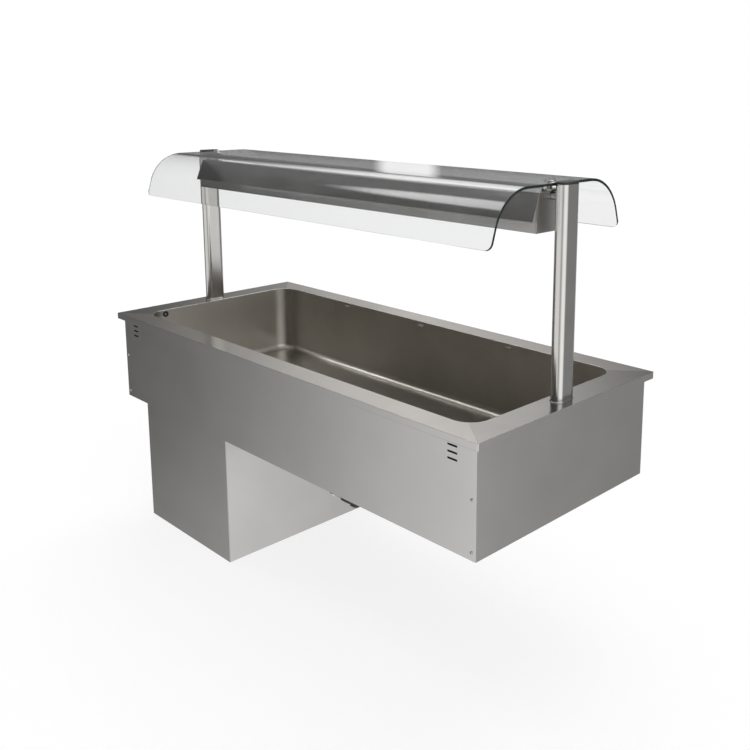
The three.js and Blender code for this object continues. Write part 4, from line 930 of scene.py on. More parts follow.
def canopy_section():
    """Points with their outward normals along the section, from the rear edge to the front edge."""
    half = [(0, glass_top, 0, 1), (glass_flat * flat_stop_share, glass_top, 0, 1)]
    for step in range(bend_steps + 1):
        angle = glass_bend_angle * step / bend_steps
        y = glass_flat + glass_bend * math.sin(angle)
        z = glass_top - glass_bend * (1 - math.cos(angle))
        half.append((y, z, math.sin(angle), math.cos(angle)))
    end_y, end_z, normal_y, normal_z = half[-1]
    run_y, run_z = math.cos(glass_bend_angle), -math.sin(glass_bend_angle)
    straight = glass_skirt - glass_corner
    turns = [quarter * step / corner_steps for step in range(corner_steps + 1)]
    stops = [straight * share for share in skirt_shares]
    stops += [straight + glass_corner * math.sin(turn) for turn in turns[1:]]
    half += [(end_y + run_y * s, end_z + run_z * s, normal_y, normal_z) for s in stops]
    drops = [0] * (len(half) - len(turns)) + [glass_corner * (1 - math.cos(turn)) for turn in turns]
    rear = [(y, z, ny, nz, drop) for (y, z, ny, nz), drop in zip(half, drops)]
    front = [(-y, z, -ny, nz, drop) for y, z, ny, nz, drop in rear[1:]]
    return rear[::-1] + front


def canopy():
    shape = bmesh.new()
    rings = []
    for y, z, normal_y, normal_z, drop in canopy_section():
        reach = glass_reach - drop
        inner_y, inner_z = y - normal_y * glass_sheet, z - normal_z * glass_sheet
        xs = [-reach, -reach / 2, 0, reach / 2, reach]
        rings.append([(x, y, z) for x in xs] + [(x, inner_y, inner_z) for x in reversed(xs)])
    loft(shape, rings)
    soften(shape, glass_arris, steps=3, angle=arris_angle)
    made = as_object("look_glass_canopy", shape, [glass, glass_edge], glass_smooth_angle)
    skirt_y, skirt_z = math.cos(glass_bend_angle), -math.sin(glass_bend_angle)
    rim_top = min(vertex.co.z for vertex in made.data.vertices) + glass_sheet * mm
    for face in made.data.polygons:
        side = 1 if face.center.y > 0 else -1
        faces_down = face.normal.dot(Vector((0, side * skirt_y, skirt_z))) > rim_face_share
        rim = faces_down and face.center.z < rim_top
        face.material_index = 1 if abs(face.normal.x) > end_face_share or rim else 0
    return stands_for(made, "glass_canopy")


canopy()

# %% [markdown]
# ## The lamp housing
# A long hood of folded sheet holds the lamp under the glass. The line of its folds is rounded,
# given the sheet's thickness and carried along the well. Its bosses take the screws that clamp the
# glass, and a plate closes each end.

# %% Lamp housing: folded shell with the clamp bosses on top
top_half, eave_half, frame_half, ledge_half, housing_bend = 44, 67, 54, 44, 1.6
boss_radius, boss_hole, boss_foot, boss_foot_height = 6, 3.4, 17, 5
boss_edge, boss_overlap, boss_foot_edge, housing_plate_edge = 0.5, 0.2, 1, 0.3
clamp_gap_top = glass_top - glass_sheet - gap


def housing_points(sign):
    return [
        (sign * top_half, housing_top), (sign * eave_half, housing_eave),
        (sign * frame_half, housing_eave), (sign * frame_half, housing_bottom),
    ]


def housing_shell():
    rear = [(ledge_half, housing_bottom), *reversed(housing_points(1))]
    front = [*housing_points(-1), (-ledge_half, housing_bottom)]
    folds = rear + front
    outline = thickened(rounded(folds, [housing_bend] * len(folds), 5), housing_sheet)
    root = housing_top - housing_sheet / 2
    boss = [
        (boss_hole, root), (boss_radius, root), (boss_radius, clamp_gap_top - boss_edge),
        (boss_radius - boss_edge, clamp_gap_top), (boss_hole, clamp_gap_top),
    ]
    low = housing_top + gap
    high = low + boss_foot_height
    foot = [
        (boss_radius - boss_overlap, low), (boss_foot, low), (boss_foot, high - boss_foot_edge),
        (boss_foot - boss_foot_edge, high), (boss_radius - boss_overlap, high),
    ]
    shape = bmesh.new()
    loft(shape, [ring_of(outline, -housing_reach, "x"), ring_of(outline, housing_reach, "x")])
    for side in (-1, 1):
        turned(shape, boss, (side * clamp_x, 0, 0), "z", sides=36)
        turned(shape, foot, (side * clamp_x, 0, 0), "z", sides=48)
    return piece("lamp_housing", shape, housing_steel)


housing_shell()
for name in ("left", "right"):
    refined(f"{name}_housing_plate", steel_y, housing_plate_edge)


# %% [markdown]
# ## What holds the housing and the glass
# Round spacers keep the housing off the posts, and screws with wide flat heads clamp the glass to
# its bosses. Both come off a lathe, so they are turned here as well.

# %% Spacers, clamp screws, lamp strip and diffuser
spacer_start, spacer_length, spacer_z = 645, 22, 457
spacer_radius, spacer_edge, spacer_stud, spacer_stud_reach = 9, 0.5, 4.7, 4
clamp_section = [
    (0, -16), (2.6, -16), (3, -15.5), (3, 0), (11.6, 0), (12, 0.4), (12, 2), (11.6, 2.6), (10.8, 3), (0, 3)
]
diffuser_edge, strip_edge = 0.5, 0.6


def spacer(name, side):
    ends = [(0, -spacer_stud_reach), (spacer_stud, -spacer_stud_reach), (spacer_stud, gap),
            (spacer_radius - spacer_edge, gap), (spacer_radius, gap + spacer_edge)]
    near = [(radius, x * side) for radius, x in ends]
    far = [(radius, spacer_length * side - x * side) for radius, x in reversed(ends)]
    shape = bmesh.new()
    turned(shape, near + far, (side * spacer_start, 0, spacer_z), "x", sides=40)
    return piece(f"{name}_housing_spacer", shape, polished_steel)


def clamp(name, side):
    shape = bmesh.new()
    turned(shape, clamp_section, (side * clamp_x, 0, glass_top + gap), "z")
    return piece(f"{name}_glass_clamp", shape, polished_steel)


for name, side in (("left", -1), ("right", 1)):
    spacer(name, side)
    clamp(name, side)
refined("lamp_diffuser", opal, diffuser_edge, 3)
refined("lamp_strip", aluminium, strip_edge, 3)

# %% [markdown]
# ## The drain
# Melt water leaves through a cup in the floor with a strainer in it, and a pipe takes it to a ball
# valve. The cup is turned, the strainer is a plate with two circles of holes, and the pipe follows a
# bent route.

# %% Drain outlet
cup_radius, cup_wall, cup_flange = 31, 2, 33
outlet_top, cup_bottom, spigot_end = -188.2, -204, -226
spigot_radius, spigot_edge, spigot_edge_rise, spigot_bend = 13.7, 0.5, 0.6, 1
cup_bend, cup_bend_middle, cup_inner_rise, cup_inner_bend = 4, 1.2, 5, 3
cup_seat_edge, cup_rim_edge, cup_rim_drop, cup_mouth_edge = 0.3, 0.6, 0.5, 0.8


def drain_outlet():
    bore, room = spigot_radius - cup_wall, cup_radius - cup_wall
    seat, inner_floor = floor_level + gap, cup_bottom + cup_wall
    section = [
        (bore, spigot_end), (spigot_radius - spigot_edge, spigot_end),
        (spigot_radius, spigot_end + spigot_edge_rise), (spigot_radius, cup_bottom - spigot_bend),
        (spigot_radius + spigot_bend, cup_bottom), (cup_radius - cup_bend, cup_bottom),
        (cup_radius - cup_bend_middle, cup_bottom + cup_bend_middle), (cup_radius, cup_bottom + cup_bend),
        (cup_radius, seat), (cup_flange - cup_seat_edge, seat), (cup_flange, seat + cup_seat_edge),
        (cup_flange, outlet_top - cup_rim_drop), (cup_flange - cup_rim_edge, outlet_top),
        (room + cup_mouth_edge, outlet_top), (room, outlet_top - cup_mouth_edge),
        (room, cup_bottom + cup_inner_rise), (room - cup_inner_bend, inner_floor),
        (bore + spigot_bend, inner_floor), (bore, cup_bottom + spigot_bend),
    ]
    shape = bmesh.new()
    turned(shape, section, (drain_x, drain_y, 0), "z", sides=64)
    return piece("drain_outlet", shape, polished_steel)


drain_outlet()

# %% Strainer with a skirt under it and a knob to lift it by
strainer_radius, strainer_sheet, strainer_edge = 30, 1.5, 0.25
# Each row is the radius of a circle of holes, how many there are, and the radius of one.
strainer_circles = [(14, 8, 3), (22, 16, 1.6)]
strainer_skirt = [(26.4, -6), (28.2, -6), (28.4, -5.8), (28.4, 0.5), (26.4, 0.5)]
strainer_knob = [(0, -0.5), (2.6, -0.5), (2.6, 3.2), (4.6, 4.4), (5, 5.6), (4.6, 7.4), (3, 8.1), (0, 8.25)]


def strainer():
    bottom = outlet_top + gap
    top = bottom + strainer_sheet
    holes = []
    for ring, count, radius in strainer_circles:
        turns = [full * i / count for i in range(count)]
        centres = [(drain_x + ring * math.cos(turn), drain_y + ring * math.sin(turn)) for turn in turns]
        holes += [circle(centre, radius, 20) for centre in centres]
    shape = bmesh.new()
    plate(shape, circle((drain_x, drain_y), strainer_radius, 72), holes, bottom, top)
    soften(shape, strainer_edge)
    turned(shape, strainer_skirt, (drain_x, drain_y, bottom), "z", sides=64)
    turned(shape, strainer_knob, (drain_x, drain_y, top), "z", sides=32)
    return piece("drain_strainer", shape, polished_steel)


strainer()

# %% Pipe
pipe_radius, pipe_bore, pipe_bend = 16.85, 14, 28
valve_half = 36


def drain_pipe():
    corners = [(drain_x, drain_y, cup_bottom - gap), (drain_x, drain_y, pipe_z),
               (valve_x - valve_half - gap, drain_y, pipe_z)]
    shape = bmesh.new()
    swept(shape, route(corners, pipe_bend, 14), pipe_radius, 40, pipe_bore)
    return piece("drain_pipe", shape, sheet_steel)


drain_pipe()

# %% [markdown]
# ## The ball valve
# A bored ball turns in a hollow body. The body's outline runs along the outside and back along the
# inside, so one turning makes the sockets, the barrel and the ball's room. A real nut's corners are
# turned down by a cone, which a loft of clipped hexagons follows.

# %% Valve body
valve_socket, valve_hex, valve_bore, valve_tail = 12, 12, 10, 20
valve_cavity, valve_collar, valve_neck, valve_edge, valve_collar_end = 16.4, 20, 18.6, 0.6, 0.5
valve_tail_neck, valve_tail_step, valve_tail_root, valve_tail_edge = 17.4, 0.2, 1, 0.8
barrel_shoulder = [(20, 0), (20.6, 0.6), (21, 1.4)]
stem_gland_section = [(5.2, -27), (7.4, -27), (8, -26.4), (8, -20.5), (9.4, -18.6), (5.2, -18.6)]
hex_across, hex_inside, hex_near, hex_far = 19.6, 18.8, 0.6, 0.4
hex_chamfer, hex_chamfer_length, hex_chamfer_share = 1.4, 0.8, 0.9


def hexagon_nut(shape, start, end, across, bore, centre):
    """A six-sided nut along X with its corners turned down."""
    corner = across / math.cos(full / 12)
    turns = [full * index / 36 for index in range(36)]
    rings = []
    for x, cut in ((start, hex_chamfer), (start + hex_chamfer_length, 0), (end - hex_chamfer_length, 0),
                   (end, hex_chamfer)):
        outline = []
        for turn in turns:
            face = across / math.cos((turn % (full / 6)) - full / 12)
            reach = min(face, corner - cut * hex_chamfer_share) if cut else face
            outline.append((centre[1] + reach * math.cos(turn), centre[2] + reach * math.sin(turn)))
        rings.append(ring_of(outline, x, "x"))
    hole = [(centre[1] + bore * math.cos(turn), centre[2] + bore * math.sin(turn)) for turn in turns]
    rings += [ring_of(hole, end, "x"), ring_of(hole, start, "x")]
    loft(shape, rings, closed=True)


def valve_body():
    mouth = math.sqrt(valve_cavity ** 2 - valve_bore ** 2)
    steps = 14
    stops = [mouth - 2 * mouth * step / steps for step in range(steps + 1)]
    hollow = [(math.sqrt(valve_cavity ** 2 - x ** 2), x) for x in stops]
    socket = pipe_radius + gap
    left, right = -valve_half, valve_half
    mouth_end, tail_end = left - valve_socket, right + valve_tail
    shoulder = [(radius, left + valve_hex + x) for radius, x in barrel_shoulder]
    section = [
        (socket, mouth_end), (valve_collar - valve_edge, mouth_end), (valve_collar, mouth_end + valve_edge),
        (valve_collar, left - valve_collar_end), (valve_neck, left),
        *shoulder, *[(radius, -x) for radius, x in reversed(shoulder)], (valve_neck, right),
        (valve_tail_neck, right + valve_tail_step), (pipe_radius, right + valve_tail_root),
        (pipe_radius, tail_end - valve_tail_edge), (pipe_radius - valve_tail_edge, tail_end),
        (valve_bore, tail_end), *hollow, (valve_bore, left), (socket, left),
    ]
    centre = (valve_x, drain_y, pipe_z)
    nuts = [(left + hex_near, left + valve_hex - hex_far), (right - valve_hex + hex_far, right - hex_near)]
    shape = bmesh.new()
    turned(shape, section, centre, "x", sides=64)
    for start, end in nuts:
        hexagon_nut(shape, valve_x + start, valve_x + end, hex_across, hex_inside, centre)
    turned(shape, stem_gland_section, centre, "z", sides=40)
    return piece("valve_body", shape, fitting_steel)


valve_body()

# %% Ball with its bore and the slot for the stem
ball_radius = 16
stem_slot_section = [(0, -20), (3.2, -20), (3.2, -13), (0, -13)]


def valve_ball():
    edge = math.acos(valve_bore / ball_radius)
    outline = arc((0, 0), ball_radius, -edge, edge, 20)
    centre = (valve_x, drain_y, pipe_z)
    shape = bmesh.new()
    turned(shape, outline, centre, "x", sides=64)
    made = as_object("look_valve_ball", shape, [polished_steel])
    slot = bmesh.new()
    turned(slot, stem_slot_section, centre, "z", sides=32)
    return stands_for(cut_away(made, as_object("slot", slot, [])), "valve_ball")


valve_ball()

# %% [markdown]
# ## The stem, the lever and its sleeve
# The lever is a flat bar with a round hub, held on the stem by a nut, and points right while the
# valve is open. A soft sleeve with grooves for the fingers is pushed over its end.

# %% Valve stem with the nut that holds the lever
lever_length, lever_width, lever_drop, lever_sheet = 86, 16, 30.5, 3
stem_tip = [(0, -5), (3, -5), (3.4, -4.6), (3.4, -3.6), (5, -3.6)]
stem_root = [(5, -16.6), (3, -16.6), (3, -13.3), (0, -13.3)]
lever_nut_radius, lever_nut_bore, lever_nut_height, lever_nut_edge = 8, 4.6, 4.6, 0.35


def valve_stem():
    seat = -lever_drop - lever_sheet - gap
    section = [(radius, seat + z) for radius, z in stem_tip] + stem_root
    nut_top = pipe_z + seat
    shape = bmesh.new()
    turned(shape, section, (valve_x, drain_y, pipe_z), "z", sides=36)
    hexagon = circle((valve_x, drain_y), lever_nut_radius, 6)
    hole = circle((valve_x, drain_y), lever_nut_bore)
    plate(shape, hexagon, [hole], nut_top - lever_nut_height, nut_top)
    soften(shape, lever_nut_edge, angle=25)
    return piece("valve_stem", shape, fitting_steel)


valve_stem()

# %% Lever
lever_hub, lever_hole, lever_edge, hub_meeting_share = 11, 5.2, 0.6, 0.99


def valve_lever():
    top = pipe_z - lever_drop
    half = lever_width / 2
    meet = math.acos(half / lever_hub) * hub_meeting_share
    tip = arc((valve_x + lever_length, drain_y), half, -quarter, quarter, 16)
    hub = arc((valve_x, drain_y), lever_hub, quarter - meet, full - quarter + meet, 30)
    shape = bmesh.new()
    plate(shape, tip + hub, [circle((valve_x, drain_y), lever_hole, 28)], top - lever_sheet, top)
    soften(shape, lever_edge, steps=3, angle=50)
    return piece("valve_lever", shape, fitting_steel)


valve_lever()

# %% Sleeve with a bulb at its end and grooves along its sides
sleeve_start, sleeve_width, sleeve_half = 32, 20, 4.5
sleeve_rounding = [(1.6, 0), (0.5, 0.5), (0, 1.6)]
bulb_length, bulb_drop, bulb_root = 28, 13, 3
bulb_rounding = [(2.2, 0), (0.7, 0.7), (0, 2.2)]
groove_first, groove_pitch, groove_width, groove_depth, groove_clear, groove_count = 9, 6, 2.2, 0.7, 1, 6


def lever_sleeve():
    middle = pipe_z - lever_drop - lever_sheet / 2
    top, low = middle + sleeve_half, middle - sleeve_half
    bulb_low = top - bulb_drop
    end = lever_length + sleeve_width / 2
    length = end - sleeve_start
    grip = (valve_x + sleeve_start + length / 2, drain_y)
    bulb = (valve_x + end - bulb_length / 2, drain_y)
    grip_levels = [(inset, low + rise) for inset, rise in sleeve_rounding]
    grip_levels += [(inset, top - rise) for inset, rise in reversed(sleeve_rounding)]
    bulb_levels = [(inset, bulb_low + rise) for inset, rise in bulb_rounding] + [(0, low + bulb_root)]
    shape = bmesh.new()
    for levels, run, centre in ((grip_levels, length, grip), (bulb_levels, bulb_length, bulb)):
        loft(shape, [ring_of(oblong(run - 2 * inset, sleeve_width - 2 * inset, 16, centre), z)
                     for inset, z in levels])
    made = as_object("look_valve_lever_sleeve", shape, [black_plastic])
    grooves = bmesh.new()
    for index in range(groove_count):
        x = valve_x + sleeve_start + groove_first + index * groove_pitch
        for side in (-1, 1):
            y = drain_y + side * sleeve_width / 2
            block(grooves, x, x + groove_width, y - groove_depth, y + groove_depth,
                  low - groove_clear, top + groove_clear)
    return stands_for(cut_away(made, as_object("grooves", grooves, [])), "valve_lever_sleeve")


lever_sleeve()

# %% [markdown]
# ## Controls on the staff's side
# The thermostat is a moulded bezel with a dark window and three keys. The bezel is an outline with
# openings, softened as a moulding is. The pane is a piece of its own, glossy where the bezel is
# dull, and each key is a turned button that can be pressed.

# %% Thermostat and its keys
bezel_length, bezel_height, bezel_sheet, bezel_corner, bezel_edge = 78, 36, 3, 3, 0.5
thermostat_x, switch_x = -470.1, -304.9
control_face = casing_width / 2 + gap
bezel_face = control_face + bezel_sheet
window_right, window_length, window_height, window_corner = -436.1, 34, 17, 1.2
window_seat, window_sink, haze_scale, pane_smoothest, pane_roughest = 0.2, 0.6, 120, 0.06, 0.12
body_half_length, body_half_height, body_depth, body_overlap, body_edge = 35, 14, 55, 0.4, 1
button_radius, button_pitch, button_first, button_count, button_play = 3.2, 9, -501.9, 3, 0.25
button_back = 300.5
button_section = [(0, 0), (button_radius, 0), (button_radius, 3.4), (2.9, 3.8), (2.4, 4), (0, 3.85)]


def window_finish():
    """A dark, glossy pane with a faint haze."""
    material, tree, shader = new_material("display_window")
    haze = noise(tree, haze_scale)
    feed(tree, shader, {
        "Base Color": two_tones(tree, haze, (0.010, 0.006, 0.006), (0.022, 0.012, 0.012)),
        "Roughness": ramp(tree, haze, pane_smoothest, pane_roughest),
    })
    return material


def thermostat():
    window = rounded_rectangle(window_length, window_height, window_corner, 5,
                               (window_right - window_length / 2, control_z))
    pockets = [circle((button_first + button_pitch * index, control_z), button_radius + button_play, 28)
               for index in range(button_count)]
    outline = rounded_rectangle(bezel_length, bezel_height, bezel_corner, 8, (thermostat_x, control_z))
    shape = bmesh.new()
    plate(shape, outline, [window, *pockets], control_face, bezel_face, "y")
    soften(shape, bezel_edge, steps=3, angle=40)
    block(shape, thermostat_x - body_half_length, thermostat_x + body_half_length,
          casing_width / 2 - body_depth, control_face + body_overlap,
          control_z - body_half_height, control_z + body_half_height, body_edge)
    made = as_object("look_thermostat", shape, [black_plastic, window_finish()])
    pane = bmesh.new()
    block(pane, window_right - window_length, window_right, control_face + window_seat,
          bezel_face - window_sink, control_z - window_height / 2, control_z + window_height / 2)
    glazed = as_object("look_display_window", pane, [made.data.materials[1]])
    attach(glazed, "well")
    return stands_for(made, "thermostat")


def button(index):
    x = button_first + button_pitch * index
    shape = bmesh.new()
    turned(shape, button_section, (x, button_back, control_z), "y", sides=36)
    return piece(f"thermostat_button_{index + 1}", shape, grey_plastic)


thermostat()
for index in range(button_count):
    button(index)


# %% [markdown]
# ## The switches
# Two rockers tip in one frame. A rocker's section is most of a circle about its pin with a shallow
# valley outside, drawn at the angle it rests at. The printed marks for on and off are thin raised
# rings that ride with it.

# %% Switch frame with the box behind it
rocker_radius, rocker_width, rocker_pitch, rocker_sink = 9, 14, 22, 2.5
switch_sheet, switch_length, switch_height, switch_corner, switch_edge = 2.5, 56, 30, 2.5, 0.5
switch_face = control_face + switch_sheet
rocker_axis = switch_face - rocker_sink
rocker_hole_height, rocker_hole_corner, rocker_play = 18.6, 0.6, 0.6
box_length, box_height, box_corner, box_depth = 50, 24, 0.8, 24
box_floor, box_overlap, box_weld = 2, 0.3, 0.05
contact_half, contact_rise, contact_pitch, contact_proud, contact_root = 0.4, 3, 4, 0.01, 0.02


def switch_block():
    middles = [switch_x + side * rocker_pitch / 2 for side in (-1, 1)]
    holes = [rounded_rectangle(rocker_width + rocker_play, rocker_hole_height, rocker_hole_corner, 3,
                               (middle, control_z)) for middle in middles]
    outline = rounded_rectangle(switch_length, switch_height, switch_corner, 6, (switch_x, control_z))
    shape = bmesh.new()
    plate(shape, outline, holes, control_face, switch_face, "y")
    soften(shape, switch_edge, steps=3, angle=40)
    back = casing_width / 2 - box_depth
    walls = rounded_rectangle(box_length, box_height, box_corner, 3, (switch_x, control_z))
    plate(shape, walls, holes, back + box_floor, control_face + box_overlap, "y")
    plate(shape, walls, [], back, back + box_floor + box_weld, "y")
    for middle in middles:
        for x in (middle - contact_pitch, middle, middle + contact_pitch):
            block(shape, x - contact_half, x + contact_half, back - contact_proud, back + contact_root,
                  control_z - contact_rise, control_z + contact_rise)
    return piece("switch_block", shape, black_plastic)


switch_block()

# %% Rockers and the marks for on and off
rocker_tilt, rocker_corner, rocker_dip, rocker_edge = -0.175, 1.2, 2.4, 0.4
pin_radius, pin_reach = 1.5, 1.3
mark_inside, mark_outside, bar_width_share, bar_length_share = 0.9, 1.3, 0.28, 1.2
mark_low, mark_high = 0.01, 0.1


def rocker(name, x):
    points = arc((0, 0), rocker_radius, rocker_corner + rocker_tilt, full - rocker_corner + rocker_tilt, 36)
    points.append((rocker_dip * math.cos(rocker_tilt), rocker_dip * math.sin(rocker_tilt)))
    half = rocker_width / 2
    pin = half + pin_reach
    outline = [(rocker_axis + u, control_z + v) for u, v in points]
    shape = bmesh.new()
    loft(shape, [ring_of(outline, x - half, "x"), ring_of(outline, x + half, "x")])
    soften(shape, rocker_edge, angle=30)
    turned(shape, [(0, -pin), (pin_radius, -pin), (pin_radius, pin), (0, pin)],
           (x, rocker_axis, control_z), "x", sides=24)
    stands_for(as_object(f"look_{name}_rocker", shape, [black_plastic]), f"{name}_rocker")
    marks = rocker_marks(name, x)
    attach(marks, f"{name}_rocker")


def mark_ring(middle, run, grow, bar):
    """Points round a mark's middle, as pairs of a step along the axis and a place on the section."""
    ring = []
    for index in range(32):
        turn = full * index / 32
        across, along = grow * math.cos(turn), grow * math.sin(turn)
        if bar:
            across *= bar_width_share
            along *= bar_length_share
        ring.append((across, middle + run * along))
    return ring


def rocker_marks(name, x):
    """The bar for on and the ring for off, printed on the two faces."""
    shape = bmesh.new()
    dip = Vector((rocker_dip * math.cos(rocker_tilt), rocker_dip * math.sin(rocker_tilt)))
    for angle, bar in ((rocker_tilt + rocker_corner, True), (rocker_tilt - rocker_corner, False)):
        corner = Vector((rocker_radius * math.cos(angle), rocker_radius * math.sin(angle)))
        run = (corner - dip).normalized()
        out = Vector((abs(run.y), -run.x if run.y > 0 else run.x))
        rings = []
        for grow, lift in ((mark_inside, mark_low), (mark_outside, mark_low),
                           (mark_outside, mark_high), (mark_inside, mark_high)):
            spots = [(across, spot + out * lift)
                     for across, spot in mark_ring((corner + dip) / 2, run, grow, bar)]
            rings.append([(x + across, rocker_axis + spot.x, control_z + spot.y) for across, spot in spots])
        loft(shape, rings, closed=True)
    return as_object(f"look_{name}_marks", shape, [grey_plastic])


rocker("mains", switch_x + rocker_pitch / 2)
rocker("lamp", switch_x - rocker_pitch / 2)

# %% [markdown]
# ## The cable gland
# Wires pass the control panel through this gland: a threaded sleeve with a lock nut inside, and a
# hexagon and a domed nut outside. Sleeve and dome are turned, the nuts are six-sided plates.

# %% Cable gland with its nuts
gland_from_side, gland_seat = 45, 4
gland_sleeve = [(4.5, 0), (8, 0), (8, 14), (4.5, 14)]
gland_nuts, gland_nut_radius, gland_nut_bore, gland_edge = ((0, 4), (5.8, 13.8)), 12, 7.8, 0.6
gland_dome = [(4.5, 13), (10.8, 13.4), (11, 16), (10.7, 19.5), (9.9, 23), (8.8, 26), (7.6, 27.8), (4.5, 27.8)]


def cable_gland():
    x = bay_left + gland_from_side
    start = inner_rear - gap - gland_seat
    shape = bmesh.new()
    turned(shape, gland_sleeve, (x, start, control_z), "y", sides=40)
    hexagon, hole = circle((x, control_z), gland_nut_radius, 6), circle((x, control_z), gland_nut_bore, 32)
    for low, high in gland_nuts:
        plate(shape, hexagon, [hole], start + low, start + high, "y")
    soften(shape, gland_edge, angle=25)
    turned(shape, gland_dome, (x, start, control_z), "y")
    return piece("cable_gland", shape, black_plastic)


cable_gland()

# %% [markdown]
# ## Rows of copies
# The condenser has about a hundred equal fins, so Geometry Nodes repeat one: a line of points, a
# copy on each, turned a little by a fixed seed because thin fins are never quite parallel, then real
# mesh and its material. The result is read back as a plain mesh before it rides on its body.

# %% Rows of copies, made with Geometry Nodes
row_inputs = {
    "Shape": "Geometry", "Count": "Int", "Step": "Vector", "Unevenness": "Float", "Seed": "Int",
    "Material": "Material",
}


def row_group():
    """Copies of a shape in a row, each turned a little by a fixed seed."""
    group = bpy.data.node_groups.new("row_of_copies", "GeometryNodeTree")
    for name, kind in row_inputs.items():
        group.interface.new_socket(name, in_out="INPUT", socket_type="NodeSocket" + kind)
    group.interface.new_socket("Copies", in_out="OUTPUT", socket_type="NodeSocketGeometry")
    given = group.nodes.new("NodeGroupInput").outputs
    steps = {"Count": given["Count"], "Offset": given["Step"]}
    line = add(group, "GeometryNodeMeshLine", steps, mode="OFFSET")
    lowest = add(group, "ShaderNodeMath", {0: given["Unevenness"], 1: -1}, operation="MULTIPLY")
    limits = {"Min": lowest.outputs["Value"], "Max": given["Unevenness"], "Seed": given["Seed"]}
    uneven = add(group, "FunctionNodeRandomValue", limits, data_type="FLOAT_VECTOR")
    copies = add(group, "GeometryNodeInstanceOnPoints", {
        "Points": line.outputs["Mesh"], "Instance": given["Shape"], "Rotation": uneven.outputs["Value"],
    })
    real = add(group, "GeometryNodeRealizeInstances", {"Geometry": copies.outputs["Instances"]})
    finish = {"Geometry": real.outputs["Geometry"], "Material": given["Material"]}
    finished = add(group, "GeometryNodeSetMaterial", finish)
    add(group, "NodeGroupOutput", {"Copies": finished.outputs["Geometry"]})
    return group


row_of_copies = row_group()


def in_a_row(name, shape, count, step, start, material, unevenness, seed=7):
    """Repeats a shape made round the origin from a start, and gives the copies as one object."""
    made = as_object(name, shape, [material])
    modifier = made.modifiers.new("row", "NODES")
    modifier.node_group = row_of_copies
    values = {"Count": count, "Step": [s * mm for s in step], "Unevenness": unevenness, "Seed": seed,
              "Material": material}
    for item in row_of_copies.interface.items_tree:
        if item.in_out == "INPUT" and item.name in values:
            modifier[item.identifier] = values[item.name]
    made.update_tag()
    bpy.context.view_layer.update()
    applied(made)
    made.data.transform(Matrix.Translation([s * mm for s in start]))
    return made


def joined(name, *parts):
    """One object from several, keeping their materials."""
    shape = bmesh.new()
    materials = []
    for part in parts:
        before = len(shape.faces)
        shape.from_mesh(part.data)
        shape.faces.ensure_lookup_table()
        for face in shape.faces[before:]:
            face.material_index += len(materials)
        materials += list(part.data.materials)
        deleted(part)
    return mesh_object(name, shape, materials)


# %% [markdown]
# ## The condenser
# Air is drawn through a block of fins on copper tubes that run to and fro through all of them. One
# long route per column is bent and swept, which leaves no seams between straights and bends.

# %% Condenser
condenser_left, condenser_right = -547.5, -227.5
condenser_front, condenser_rear, condenser_top = 204.8, 254.8, -362.5
fin_pitch, fin_sheet, fin_depth, fin_height, fin_ridge = 3.2, 0.4, 42, 220, 0.5
fin_first, fin_last, fin_unevenness = 3.6, 6, 0.004
end_sheet, end_edge, rail_sheet, rail_inset, rail_edge = 2, 0.5, 1.5, 1, 0.3
tube_rows, tube_inset, tube_first, tube_rest = 8, 14, 14, 30
tube_radius, tube_bend, tube_bend_reach, tube_end = 4, 8.8, 10, 1


def condenser_fins():
    half = fin_depth / 2
    front_line = [(0, -half), (fin_ridge, -half / 2), (0, 0), (fin_ridge, half / 2), (0, half)]
    outline = front_line + [(x + fin_sheet, y) for x, y in reversed(front_line)]
    fin = bmesh.new()
    loft(fin, [ring_of(outline, -fin_height / 2), ring_of(outline, fin_height / 2)])
    count = int((condenser_right - condenser_left - fin_last) / fin_pitch)
    first = (condenser_left + fin_first, (condenser_front + condenser_rear) / 2, bay_floor + fin_height / 2)
    return in_a_row("fins", fin, count, (fin_pitch, 0, 0), first, aluminium, fin_unevenness)


def condenser_plates():
    shape = bmesh.new()
    for x in (condenser_left, condenser_right - end_sheet):
        block(shape, x, x + end_sheet, condenser_front, condenser_rear, bay_floor, condenser_top, end_edge)
    for z in (bay_floor, condenser_top - rail_sheet):
        block(shape, condenser_left + rail_inset, condenser_right - rail_inset,
              condenser_front, condenser_rear, z, z + rail_sheet, rail_edge, 1)
    return as_object("plates", shape, [sheet_steel])


def condenser_tubes():
    rise = (condenser_top - bay_floor - tube_rest) / (tube_rows - 1)
    levels = [bay_floor + tube_first + row * rise for row in range(tube_rows)]
    shape = bmesh.new()
    for y in (condenser_front + tube_inset, condenser_rear - tube_inset):
        corners = [(condenser_right + tube_end, y, levels[0])]
        for row, (low, high) in enumerate(zip(levels, levels[1:])):
            x = condenser_right + tube_bend_reach if row % 2 else condenser_left - tube_bend_reach
            corners += [(x, y, low), (x, y, high)]
        corners.append((condenser_right + tube_end, y, levels[-1]))
        swept(shape, route(corners, tube_bend, 8), tube_radius)
    return as_object("tubes", shape, [copper])


def condenser():
    made = joined("look_condenser", condenser_fins(), condenser_plates(), condenser_tubes())
    return stands_for(made, "condenser")


condenser()

# %% [markdown]
# ## The fan
# A motor on three arms turns a wheel of five blades in the hole of a sheet shroud. A blade is
# twisted and cambered, so it is lofted from sections at growing radii, each at its own angle.

# %% Fan shroud
fan_x, fan_y, fan_z = bay_middle, 182.0, -474.5
shroud_front, shroud_sheet, shroud_hole = 180.5, 1.5, 98
shroud_corner, shroud_inner_corner, shroud_overlap, shroud_edge = 3, 2, 0.2, 0.3
collar_section = [
    (shroud_hole - 0.2, 0), (shroud_hole + 1.6, 0), (shroud_hole + 1.6, 9), (shroud_hole, 10),
    (shroud_hole - 0.2, 9),
]


